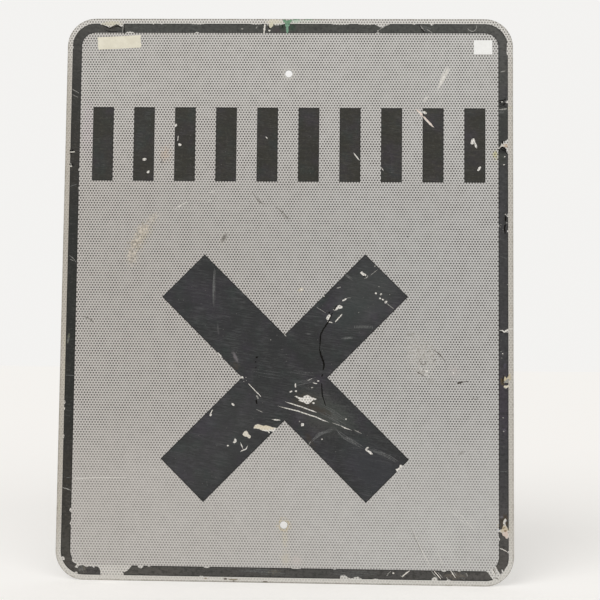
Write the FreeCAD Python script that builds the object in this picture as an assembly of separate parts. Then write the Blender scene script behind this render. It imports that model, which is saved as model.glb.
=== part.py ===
import FreeCAD, Part
import math
import os
import random

# Pedestrian crossing sign: a flat aluminium blank faced with reflective sheeting, with black film on it.
# The film is a border, a diagonal cross and a row of upright stripes, and it is chipped and torn by use.
# Two bolt holes on the centre line fix the sign to a post. Two stickers are left on the face.
# Millimetres. X runs across the sign, Z up, and the printed face looks along -Y.
# The origin is midway between the two bolt holes, on the back face of the blank.

# Aluminium blank
blank_width = 600.0
blank_height = 750.0
blank_thickness = 2.0
blank_corner_radius = 38.0
edge_break = 0.3
bolt_hole_diameter = 9.5
bolt_hole_inset = 75.0

# Reflective sheeting, trimmed a little inside the edge of the blank and back from its bolt holes
sheeting_thickness = 0.3
sheeting_setback = 0.5

# Black film: the border
film_thickness = 0.12
border_margin = 7.0
border_width = 12.7

# Black film: the cross, placed from the bottom edge of the blank and laid slightly off true
cross_arm_length = 382.0
cross_arm_width = 80.0
cross_angle = 45.5
cross_height = 267.5
cross_offset = -1.0

# Black film: the row of stripes, placed from the top edge of the blank and spread between its sides
stripe_count = 10
stripe_width = 28.0
stripe_height = 100.0
stripe_inset = 121.5
stripe_row_inset = 37.0

# Masking tape sticker, placed from the top left corner of the blank
tape_length = 60.0
tape_width = 17.0
tape_thickness = 0.15
tape_tilt = 3.0
tape_inset_x = 70.5
tape_inset_z = 33.0
tape_end_steps = 8
tape_end_wander = 1.4
tape_seed = 5

# Paper sticker, placed from the top right corner of the blank
label_length = 24.5
label_width = 19.0
label_thickness = 0.1
label_corner_radius = 0.8
label_inset_x = 40.0
label_inset_z = 38.6

# Torn edges: the step along an edge, how its depth wanders and falls off at its ends, as shares of the
# full depth and length, and how far the cutting outline runs past the film
tear_step = 2.6
tear_wander = (0.6, 1.0)
tear_end_share = 0.06
overcut = 1.5

# Small chips: the fewest corners of an outline, and how its reach wanders as a share of the full size
chip_corners = 8
chip_wander = (0.76, 1.14)

# Height above the bottom edge at which the last short length of border on the right is looked up
foot_height = 50.0
spot_tolerance = 0.01

# Torn edges of the border: side, place along it from its middle, edge of the band, length and depth
border_tears = [
    ("top", -215.5, "inner", 10.0, 2.4),
    ("top", -173.0, "outer", 3.0, 1.2),
    ("top", -123.5, "outer", 17.0, 1.3),
    ("top", -124.5, "inner", 5.0, 2.0),
    ("top", -44.5, "outer", 15.0, 1.6),
    ("top", -26.0, "outer", 8.6, 6.4),
    ("top", -14.5, "outer", 13.0, 2.8),
    ("top", 69.0, "outer", 24.0, 1.8),
    ("top", 104.0, "outer", 22.0, 1.6),
    ("top", 119.0, "inner", 5.0, 1.4),
    ("top", 167.5, "outer", 3.5, 1.5),
    ("top", 191.5, "outer", 5.5, 2.4),
    ("right", 334.0, "outer", 17.0, 2.3),
    ("right", 262.4, "outer", 3.5, 4.0),
    ("right", 110.0, "outer", 4.0, 2.6),
    ("right", 96.0, "inner", 4.0, 1.4),
    ("right", 89.0, "outer", 3.0, 2.0),
    ("right", -43.0, "outer", 5.0, 5.0),
    ("right", -314.0, "inner", 4.0, 1.6),
    ("right", -330.5, "outer", 3.0, 2.2),
    ("bottom", -187.0, "inner", 7.0, 4.0),
    ("bottom", -176.0, "inner", 4.5, 1.2),
    ("bottom", -107.0, "outer", 5.0, 1.5),
    ("bottom", -100.0, "inner", 8.0, 1.7),
    ("bottom", 17.0, "inner", 12.0, 1.0),
    ("bottom", 67.0, "inner", 4.0, 1.3),
    ("bottom", 120.5, "outer", 6.5, 1.4),
    ("bottom", 197.0, "outer", 8.0, 4.6),
    ("bottom", 209.0, "inner", 6.0, 2.2),
    ("bottom", 215.0, "outer", 5.0, 2.0),
    ("bottom", 229.0, "inner", 4.0, 1.4),
    ("left", 335.0, "outer", 4.0, 1.3),
    ("left", 193.2, "outer", 3.4, 6.2),
    ("left", 174.3, "outer", 5.0, 3.4),
    ("left", 168.2, "inner", 3.4, 1.8),
    ("left", 143.0, "inner", 3.0, 1.4),
    ("left", -143.2, "outer", 4.5, 1.8),
    ("left", -151.5, "outer", 4.0, 1.7),
    ("left", -188.0, "outer", 4.5, 1.7),
    ("left", -284.5, "inner", 5.5, 3.4),
    ("left", -301.5, "inner", 4.0, 1.8),
]

# Flakes gone from the border: side and end of the sign, then the outline given inwards from that corner
border_flakes = [
    # Bottom left, torn through
    ("left", "bottom", [
        (60.4, 0.0), (60.4, 7.3), (59.3, 14.6), (57.6, 16.7), (53.4, 18.2), (53.4, 30.0), (103.0, 30.0),
        (100.8, 18.8), (95.7, 12.9), (91.6, 10.8), (89.0, 11.6), (90.7, 9.2), (92.1, 0.0),
    ]),
    # Bottom left, from the inside of the bend
    ("left", "bottom", [
        (54.0, 30.0), (53.4, 18.2), (51.7, 15.8), (49.0, 17.6), (44.9, 17.9), (41.6, 16.7), (37.2, 19.2),
        (32.1, 18.7), (29.7, 15.3), (25.8, 16.5), (28.8, 20.2), (21.9, 24.2), (24.0, 34.0),
    ]),
    # Top left, two bites side by side
    ("left", "top", [
        (41.5, 4.0), (43.7, 8.2), (47.9, 9.6), (52.0, 10.9), (56.2, 13.0), (59.6, 11.1), (63.0, 9.3),
        (65.6, 7.9), (68.2, 8.8), (72.1, 11.6), (74.3, 10.6), (76.1, 7.4), (77.0, 4.0),
    ]),
    # Top right, a notch
    ("right", "top", [
        (187.0, 4.0), (185.6, 7.6), (180.0, 10.2), (175.2, 12.8), (173.2, 12.0), (170.5, 10.1),
        (165.1, 7.5), (164.0, 4.0),
    ]),
    # Bottom right of the middle, two bites side by side
    ("right", "bottom", [
        (226.0, 4.0), (225.4, 10.1), (225.1, 11.9), (222.4, 11.9), (221.1, 12.6), (219.4, 12.3),
        (217.2, 10.3), (215.2, 8.8), (212.0, 7.9), (208.9, 8.1), (207.6, 9.3), (204.4, 9.6),
        (202.8, 10.7), (200.8, 8.9), (197.4, 7.5), (196.4, 4.0),
    ]),
    # Bottom right, torn through
    ("right", "bottom", [
        (27.1, 0.0), (27.1, 8.6), (30.6, 13.1), (33.6, 17.6), (37.2, 20.2), (40.0, 30.0), (30.0, 34.0),
        (22.9, 25.0),
        (20.8, 20.2), (17.0, 15.7), (15.8, 19.1), (16.7, 22.2), (15.2, 22.3), (13.6, 19.3),
        (11.6, 24.1), (8.4, 27.8), (3.0, 30.0), (0.0, 0.0),
    ]),
    # Low on the right, torn through
    ("right", "bottom", [
        (10.4, 87.3), (12.1, 84.8), (13.1, 81.1), (14.3, 78.4), (15.7, 74.0), (19.3, 73.0), (25.0, 73.0),
        (25.0, 70.5), (18.7, 70.3), (15.9, 69.2), (14.8, 65.8), (11.6, 64.4), (10.9, 62.0), (8.8, 61.7),
        (7.4, 63.0), (3.0, 63.5), (3.0, 70.9), (6.4, 71.1), (7.5, 72.7), (8.7, 76.0), (10.6, 78.7),
        (11.4, 81.1), (9.7, 85.5),
    ]),
    # High on the right, torn through
    ("right", "top", [
        (3.0, 162.0), (6.8, 162.9), (9.2, 164.0), (11.3, 166.0), (14.0, 166.0), (15.5, 167.9),
        (16.1, 171.1), (17.8, 173.5), (21.1, 174.7), (25.0, 175.0), (25.0, 177.2), (21.1, 176.8),
        (18.3, 175.8), (16.7, 174.5), (14.5, 173.7), (12.1, 174.4), (10.2, 177.3), (8.6, 180.7),
        (6.9, 182.6), (3.0, 184.0),
    ]),
    # Halfway down the right, a flake and the smaller one below it
    ("right", "top", [
        (3.0, 476.0), (7.6, 477.7), (9.5, 480.5), (10.9, 477.7), (12.3, 478.2), (12.8, 482.9),
        (11.9, 485.5), (8.6, 486.1), (3.0, 486.3),
    ]),
    ("right", "top", [
        (3.0, 487.4), (9.6, 489.8), (12.4, 489.6), (13.3, 491.4), (11.5, 493.6), (9.1, 493.2),
        (7.1, 491.6), (3.0, 491.1),
    ]),
]

# Nicks in the outside of the border's bottom left bend: place from that corner, length, width, turn
corner_nicks = [
    (10.5, 27.7, 5.4, 4.2, -60.0),
    (28.2, 9.4, 4.0, 2.6, -20.0),
]

# Flakes gone from the cross, each an outline given from the middle of the cross
cross_flakes = [
    # The large pale flake right of the middle
    [
        (13.2, -24.5), (15.8, -23.9), (19.9, -25.6), (24.3, -26.3), (25.4, -24.1), (28.4, -23.1),
        (30.9, -22.2), (33.5, -24.0), (36.1, -25.4), (39.1, -26.3), (42.6, -27.5), (41.7, -28.8),
        (38.0, -29.3), (34.9, -31.9), (32.3, -34.2), (29.2, -34.4), (26.2, -32.6), (21.8, -31.2),
        (18.8, -30.1), (19.7, -28.6), (16.6, -26.2),
    ],
    # The long flake that reaches the lower edge of the cross
    [
        (-40.0, -65.8), (-38.1, -62.6), (-34.0, -61.4), (-31.1, -62.5), (-27.4, -63.6), (-23.7, -63.0),
        (-19.2, -64.0), (-14.8, -65.6), (-10.7, -66.0), (-7.4, -67.1), (-8.0, -76.0), (-14.7, -71.4),
        (-16.6, -70.7), (-19.2, -70.3), (-18.7, -73.0), (-19.9, -73.2), (-21.5, -70.8), (-23.6, -71.1),
        (-28.0, -70.0), (-32.5, -68.2), (-36.9, -67.2), (-39.9, -67.4),
    ],
    # Two flakes on the lower left arm
    [
        (-54.7, -75.2), (-52.4, -71.5), (-49.4, -70.1), (-47.6, -72.4), (-46.4, -74.9), (-43.7, -77.1),
        (-43.9, -79.4), (-46.0, -80.5), (-47.9, -78.7), (-50.8, -78.0), (-53.4, -76.9),
    ],
    [(-64.8, -80.5), (-62.6, -81.6), (-62.3, -84.6), (-64.6, -87.0), (-67.1, -86.4), (-65.8, -83.9)],
    # A crescent, and the broken edge, on the lower right arm
    [
        (106.8, -92.6), (108.4, -90.1), (110.7, -89.4), (112.3, -90.5), (110.3, -91.6), (109.5, -92.9),
        (112.1, -94.4), (115.0, -95.8), (117.1, -98.9), (114.0, -99.4), (111.2, -96.8), (107.9, -94.5),
    ],
    [
        (146.6, -117.9), (149.5, -117.2), (151.7, -115.6), (152.4, -112.0), (155.5, -112.5),
        (156.8, -115.6), (161.0, -119.0), (152.0, -128.0), (148.9, -121.3),
    ],
    # Three flakes on the upper right arm
    [
        (98.3, 140.0), (101.3, 141.6), (103.4, 139.1), (106.8, 137.7), (106.4, 135.3), (103.7, 135.1),
        (100.7, 137.2),
    ],
    [
        (68.2, 94.9), (71.5, 96.8), (76.0, 94.7), (75.1, 92.2), (70.6, 91.5), (68.2, 90.0), (64.1, 88.6),
        (63.2, 90.7), (66.3, 92.4),
    ],
    [(53.8, 78.4), (56.2, 82.7), (58.3, 84.3), (61.3, 81.3), (59.4, 78.2), (55.9, 76.3)],
]

# Small chips out of the cross: place from its middle across and up, length, width and turn
cross_chips = [
    (14.5, -10.4, 6.4, 2.2, 90.0),
    (15.3, -17.7, 3.2, 2.6, 0.0),
    (8.4, -18.4, 4.0, 2.4, 20.0),
    (33.4, -2.1, 8.4, 1.3, 25.0),
    (44.5, -3.8, 3.6, 1.6, 0.0),
    (40.1, -7.0, 6.2, 1.3, -12.0),
    (36.4, -12.8, 3.0, 1.4, 0.0),
    (38.4, -33.0, 4.6, 2.4, -10.0),
    (24.2, -61.5, 4.8, 4.6, 0.0),
    (-10.1, -55.6, 11.6, 2.0, -4.0),
    (-73.6, -90.2, 2.8, 2.4, 0.0),
    (-67.9, -36.0, 5.2, 2.8, -35.0),
    (-97.0, -50.5, 4.6, 2.2, 60.0),
    (50.1, -80.4, 2.4, 2.0, 0.0),
    (81.4, -53.6, 2.6, 2.2, 0.0),
    (78.2, 103.7, 8.0, 2.2, 30.0),
    (119.8, 112.5, 3.2, 3.0, 0.0),
    (126.5, 111.2, 3.2, 2.4, 20.0),
    (125.3, 105.9, 3.4, 2.4, -30.0),
    (129.1, 104.2, 3.4, 2.4, -20.0),
    (132.9, 101.1, 4.4, 2.8, 30.0),
    (-86.0, 28.8, 9.0, 2.0, -47.0),
]

# Scratches through the film of the cross: width, then the line that each follows from its middle
cross_scratches = [
    (1.5, [
        (0.0, -31.5), (9.3, -34.1), (18.1, -36.9), (24.1, -38.6), (31.4, -41.4), (38.8, -43.8), (43.6, -45.6),
    ]),
    (1.5, [
        (-9.9, -37.3), (5.6, -40.9), (18.2, -43.8), (27.8, -46.9), (42.6, -51.5), (50.0, -54.9),
        (60.0, -58.4),
    ]),
    (1.6, [(73.1, -61.5), (79.8, -65.0), (90.4, -68.4)]),
    (1.5, [(-57.4, -85.2), (-55.6, -89.4), (-53.2, -95.4)]),
    (1.5, [(-57.9, -98.2), (-55.0, -96.6), (-49.6, -94.2), (-47.0, -88.6)]),
]

# Chips out of the stripes: which stripe, place from its middle across and up, length, width and turn
stripe_chips = [
    (2, 1.0, -21.0, 5.4, 4.4, 0.0),
    (2, 6.5, -38.0, 5.0, 3.4, 20.0),
    (3, -13.6, 25.5, 4.6, 5.4, 0.0),
    (3, -7.0, -1.0, 5.4, 4.0, -20.0),
    (3, -9.6, 8.0, 8.0, 1.4, 82.0),
    (5, -1.0, 9.0, 4.4, 1.4, -48.0),
    (7, 8.6, -15.6, 13.0, 1.8, -53.0),
    (8, -12.0, -32.5, 7.0, 1.4, -58.0),
    (9, -6.5, 31.5, 23.0, 3.4, -47.0),
    (9, -11.4, 44.0, 7.0, 4.0, -20.0),
    (10, -2.4, 5.4, 9.0, 6.4, 70.0),
    (10, 1.2, 0.0, 9.0, 3.0, -75.0),
    (10, 5.6, -31.4, 8.0, 3.6, 52.0),
]

# Planes that the layers lie on, from the back of the sign to its face
blank_face = -blank_thickness
sheeting_face = blank_face - sheeting_thickness

half_width = blank_width / 2
half_height = blank_height / 2
bolt_hole_height = half_height - bolt_hole_inset
cross_middle = cross_height - half_height


def flat_face(points, y):
    """Flat face with straight sides through points (x, z), in the upright plane at y."""
    corners = [FreeCAD.Vector(x, y, z) for x, z in points]
    return Part.Face(Part.makePolygon(corners + corners[:1]))


def rounded_panel(width, height, radius, y):
    """Flat face of a rounded rectangle about the origin, in the upright plane at y."""
    edges = []
    last = None
    for side_x, side_z, start in ((1, 1, 0), (-1, 1, 90), (-1, -1, 180), (1, -1, 270)):
        middle_x = side_x * (width / 2 - radius)
        middle_z = side_z * (height / 2 - radius)
        bend = []
        for bearing in (start, start + 45, start + 90):
            x, z = turned(radius, 0.0, bearing)
            bend.append(FreeCAD.Vector(middle_x + x, y, middle_z + z))
        if last is not None:
            edges.append(Part.LineSegment(last, bend[0]).toShape())
        edges.append(Part.Arc(*bend).toShape())
        last = bend[-1]
    first = edges[0].Vertexes[0].Point
    edges.append(Part.LineSegment(last, first).toShape())
    return Part.Face(Part.Wire(edges))


def bolt_holes(diameter, y):
    """Round faces at the two bolt holes, in the upright plane at y."""
    faces = []
    for height in (bolt_hole_height, -bolt_hole_height):
        ring = Part.Circle(FreeCAD.Vector(0, y, height), FreeCAD.Vector(0, -1, 0), diameter / 2)
        faces.append(Part.Face(Part.Wire(ring.toShape())))
    return faces


def thicken(face, thickness):
    """Solid made by giving a flat face its thickness towards the front."""
    return face.extrude(FreeCAD.Vector(0, -thickness, 0))


def turned(x, z, angle):
    """Point (x, z) turned about the origin by an angle in degrees."""
    bearing = math.radians(angle)
    return (x * math.cos(bearing) - z * math.sin(bearing), x * math.sin(bearing) + z * math.cos(bearing))


def moved(points, x, z):
    """Points (x, z) shifted across and up."""
    return [(point_x + x, point_z + z) for point_x, point_z in points]


def patch_outline(length, width, turn, seed):
    """Outline of a small chip: an oval about the origin whose edge wanders in and out."""
    wander = random.Random(seed)
    corners = chip_corners + int(length / tear_step)
    points = []
    for corner in range(corners):
        angle = 2 * math.pi * corner / corners
        reach = wander.uniform(*chip_wander) / 2
        points.append(turned(reach * length * math.cos(angle), reach * width * math.sin(angle), turn))
    return points


def tear_outline(place, length, depth, seed):
    """Outline of a torn edge as (along, inwards): it follows the edge and wanders in by up to its depth."""
    wander = random.Random(seed)
    steps = max(3, round(length / tear_step))
    points = [(place - length / 2, -overcut)]
    for step in range(steps + 1):
        share = step / steps
        fullness = math.sqrt(math.sin(math.pi * (tear_end_share + (1 - 2 * tear_end_share) * share)))
        points.append((place + length * (share - 0.5), depth * fullness * wander.uniform(*tear_wander)))
    points.append((place + length / 2, -overcut))
    return points


def scratch_outline(line, width):
    """Outline of a scratch along a line of points: full width in the middle and pointed at its ends."""
    left = [line[0]]
    right = []
    for before, here, after in zip(line, line[1:], line[2:]):
        run_x = after[0] - before[0]
        run_z = after[1] - before[1]
        half = width / 2 / math.hypot(run_x, run_z)
        left.append((here[0] - run_z * half, here[1] + run_x * half))
        right.append((here[0] + run_z * half, here[1] - run_x * half))
    left.append(line[-1])
    return left + right[::-1]


def from_corner(points, side, end):
    """Points given inwards from a corner of the blank, as places on the sign."""
    side_x = -1 if side == "left" else 1
    side_z = -1 if end == "bottom" else 1
    return [(side_x * (half_width - x), side_z * (half_height - z)) for x, z in points]


def from_edge(points, side, edge):
    """Points (along, inwards) on the outer or inner edge of one side of the border, as places on the sign."""
    upright = side in ("left", "right")
    outer = (half_width if upright else half_height) - border_margin
    outwards = -1 if side in ("left", "bottom") else 1
    places = []
    for along, inwards in points:
        reach = outer - inwards if edge == "outer" else outer - border_width + inwards
        places.append((outwards * reach, along) if upright else (along, outwards * reach))
    return places


def sign_blank():
    """Aluminium plate with rounded corners, two bolt holes and its sharp edges broken."""
    panel = rounded_panel(blank_width, blank_height, blank_corner_radius, 0.0)
    holes = bolt_holes(bolt_hole_diameter, 0.0)
    plate = thicken(panel.cut(holes).Faces[0], blank_thickness)
    rims = []
    for edge in plate.Edges:
        if edge.BoundBox.YLength < blank_thickness / 2:
            rims.append(edge)
    return plate.makeChamfer(edge_break, rims)


def reflective_sheeting():
    """Sheeting over the whole face, cut out round the bolt holes."""
    panel = rounded_panel(
        blank_width - 2 * sheeting_setback,
        blank_height - 2 * sheeting_setback,
        blank_corner_radius - sheeting_setback,
        blank_face,
    )
    holes = bolt_holes(bolt_hole_diameter + 2 * sheeting_setback, blank_face)
    return thicken(panel.cut(holes).Faces[0], sheeting_thickness)


def border_panel(inset):
    """Flat face of the sign's outline taken in by an inset, on the sheeting."""
    return rounded_panel(
        blank_width - 2 * inset, blank_height - 2 * inset, blank_corner_radius - inset, sheeting_face
    )


def border_band():
    """Flat faces of the border, with the torn edges, flakes and nicks out of it."""
    cuts = [border_panel(border_margin + border_width)]
    for side, end, outline in border_flakes:
        cuts.append(flat_face(from_corner(outline, side, end), sheeting_face))
    for seed, (side, place, edge, length, depth) in enumerate(border_tears):
        outline = tear_outline(place, length, depth, seed)
        cuts.append(flat_face(from_edge(outline, side, edge), sheeting_face))
    for seed, (x, z, length, width, turn) in enumerate(corner_nicks):
        place = from_corner([(x, z)], "left", "bottom")[0]
        outline = patch_outline(length, width, turn, seed)
        cuts.append(flat_face(moved(outline, *place), sheeting_face))
    return border_panel(border_margin).cut(cuts)


def border_films():
    """The four lengths that the border is torn into, each looked up by a spot on the middle of its band."""
    band = border_band()
    middle = border_margin + border_width / 2
    spots = {
        "border_film_main": (0.0, half_height - middle),
        "border_film_right": (half_width - middle, 0.0),
        "border_film_foot": (half_width - middle, foot_height - half_height),
        "border_film_bottom": (0.0, middle - half_height),
    }
    films = {}
    for name, (x, z) in spots.items():
        films[name] = thicken(face_at(band, x, z), film_thickness)
    return films


def face_at(shape, x, z):
    """The flat face in a shape that holds the spot (x, z)."""
    spot = FreeCAD.Vector(x, sheeting_face, z)
    for face in shape.Faces:
        if face.isInside(spot, spot_tolerance, True):
            return face
    raise ValueError(f"no film at {x:.1f}, {z:.1f}")


def largest(shape):
    """The largest of the flat faces in a shape: slivers that a chip cuts loose have fallen off."""
    return max(shape.Faces, key=lambda face: face.Area)


def cross_outline():
    """Outline of the whole cross about its middle."""
    points = []
    for quarter in range(4):
        for along, across in (
            (cross_arm_length / 2, -cross_arm_width / 2),
            (cross_arm_length / 2, cross_arm_width / 2),
            (cross_arm_width / 2, cross_arm_width / 2),
        ):
            points.append(turned(along, across, cross_angle + 90 * quarter))
    return points


def cross_film():
    """Diagonal cross of two crossing arms, with its flakes, chips and scratches out of it."""
    losses = list(cross_flakes)
    for seed, (x, z, length, width, turn) in enumerate(cross_chips):
        losses.append(moved(patch_outline(length, width, turn, seed), x, z))
    for width, line in cross_scratches:
        losses.append(scratch_outline(line, width))
    cuts = [flat_face(moved(points, cross_offset, cross_middle), sheeting_face) for points in losses]
    cross = flat_face(moved(cross_outline(), cross_offset, cross_middle), sheeting_face)
    return thicken(largest(cross.cut(cuts)), film_thickness)


def stripe_film(number):
    """One upright stripe of the row, counted from the left, with its chips out of it."""
    pitch = (blank_width - 2 * stripe_row_inset - stripe_width) / (stripe_count - 1)
    x = (number - (stripe_count + 1) / 2) * pitch
    z = half_height - stripe_inset - stripe_height / 2
    corners = []
    for side_x, side_z in ((-1, -1), (1, -1), (1, 1), (-1, 1)):
        corners.append((side_x * stripe_width / 2, side_z * stripe_height / 2))
    film = flat_face(moved(corners, x, z), sheeting_face)
    for seed, (stripe, chip_x, chip_z, length, width, turn) in enumerate(stripe_chips):
        if stripe == number:
            outline = patch_outline(length, width, turn, seed)
            film = film.cut(flat_face(moved(outline, x + chip_x, z + chip_z), sheeting_face))
    return thicken(largest(film), film_thickness)


def torn_end(wander):
    """Points down a torn end of the tape, from its top edge to its bottom edge."""
    points = []
    for step in range(tape_end_steps + 1):
        across = tape_width * (0.5 - step / tape_end_steps)
        points.append((tape_length / 2 - wander.uniform(0.0, tape_end_wander), across))
    return points


def masking_tape():
    """Strip of masking tape, torn at both ends and stuck on slightly out of level."""
    wander = random.Random(tape_seed)
    right_end = torn_end(wander)
    left_end = [(-along, -across) for along, across in torn_end(wander)]
    middle = from_corner([(tape_inset_x, tape_inset_z)], "left", "top")[0]
    points = [turned(along, across, tape_tilt) for along, across in right_end + left_end]
    return thicken(flat_face(moved(points, *middle), sheeting_face), tape_thickness)


def paper_label():
    """Small rectangular paper sticker with slightly rounded corners."""
    x, z = from_corner([(label_inset_x, label_inset_z)], "right", "top")[0]
    face = rounded_panel(label_length, label_width, label_corner_radius, sheeting_face)
    face.translate(FreeCAD.Vector(x, 0, z))
    return thicken(face, label_thickness)


def save(name, shape):
    """Write one piece of the sign to its own file."""
    shape.exportStep(os.path.join("parts", name + ".step"))


os.makedirs("parts", exist_ok=True)
save("sign_blank", sign_blank())
save("reflective_sheeting", reflective_sheeting())
for film_name, border_film in border_films().items():
    save(film_name, border_film)
save("cross_film", cross_film())
for stripe_number in range(1, stripe_count + 1):
    save(f"crossing_stripe_{stripe_number:02d}", stripe_film(stripe_number))
save("masking_tape", masking_tape())
save("paper_label", paper_label())
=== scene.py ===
"""Looks of the pedestrian crossing sign: its finishes, its wear, a plain studio and the camera.

Places and sizes on the face of the sign are in millimetres: x runs across and z up from the middle of the
sign. They become metres where a mesh, a lamp or the camera is made. Colours are display values from 0 to 255.
"""

import logging
import math
import random
from dataclasses import dataclass, field
from enum import Enum
from functools import cached_property, reduce
from typing import ClassVar, Sequence

import bpy
from mathutils import Matrix, Vector

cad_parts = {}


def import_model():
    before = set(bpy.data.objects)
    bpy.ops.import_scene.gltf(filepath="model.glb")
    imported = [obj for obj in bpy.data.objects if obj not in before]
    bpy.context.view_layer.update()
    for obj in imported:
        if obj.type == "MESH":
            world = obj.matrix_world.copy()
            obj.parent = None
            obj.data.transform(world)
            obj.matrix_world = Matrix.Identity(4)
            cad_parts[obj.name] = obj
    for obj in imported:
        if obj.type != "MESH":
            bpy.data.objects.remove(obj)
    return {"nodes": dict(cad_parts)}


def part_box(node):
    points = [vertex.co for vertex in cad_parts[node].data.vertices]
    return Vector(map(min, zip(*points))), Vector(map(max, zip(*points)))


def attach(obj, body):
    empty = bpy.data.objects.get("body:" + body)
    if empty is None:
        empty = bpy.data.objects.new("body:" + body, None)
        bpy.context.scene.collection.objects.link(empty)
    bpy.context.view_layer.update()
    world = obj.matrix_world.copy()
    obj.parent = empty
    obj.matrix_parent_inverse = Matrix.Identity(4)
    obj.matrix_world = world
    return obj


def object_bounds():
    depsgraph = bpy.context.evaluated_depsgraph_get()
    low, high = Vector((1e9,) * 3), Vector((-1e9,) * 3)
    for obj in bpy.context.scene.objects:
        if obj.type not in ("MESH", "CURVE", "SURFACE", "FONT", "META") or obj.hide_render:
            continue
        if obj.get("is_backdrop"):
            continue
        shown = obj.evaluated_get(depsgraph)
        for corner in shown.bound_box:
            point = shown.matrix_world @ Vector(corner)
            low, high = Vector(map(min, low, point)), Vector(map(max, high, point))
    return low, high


LOG = logging.getLogger("sign")

MM = 0.001
ROOT = "root"
FAR = 100000.0
ORIGIN = (0.0, 0.0, 0.0)

PANEL_HALF = (300.0, 375.0)
PANEL_RADIUS = 38.0
BORDER_OUTSIDE = 7.0
BORDER_INSIDE = 19.7
CROSS_MIDDLE = (-1.0, -107.5)
CROSS_ARM_HALF = (40.0, 191.0)
CROSS_TURNS = (45.5, -44.5)
STRIPE_PITCH = 498.0 / 9
STRIPE_MIDDLE = 203.5
STRIPE_HALF = (14.0, 50.0)
STRIPE_ROW_HALF = (263.0, 60.0)

Point = tuple[float, float]
Span = tuple[float, float]
Ramp = tuple[float, float, float, float]
Rgb = tuple[float, float, float]
Rgba = tuple[float, float, float, float]
Nodes = dict[str, bpy.types.Object]
Socket = bpy.types.NodeSocket


def linear(tint: Rgb) -> Rgba:
    """Turn a display colour into the linear colour that shaders and lamps take.

    Args:
        tint: Red, green and blue from 0 to 255.

    Returns:
        Linear red, green and blue, and an alpha of 1.
    """
    channels = []
    for level in tint:
        share = level / 255
        channels.append(share / 12.92 if share <= 0.04045 else ((share + 0.055) / 1.055) ** 2.4)
    return (*channels, 1.0)


def flat_turn(degrees: float) -> tuple[float, float, float]:
    """Three angles that turn the face by some degrees."""
    return (0.0, 0.0, math.radians(degrees))


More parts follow.
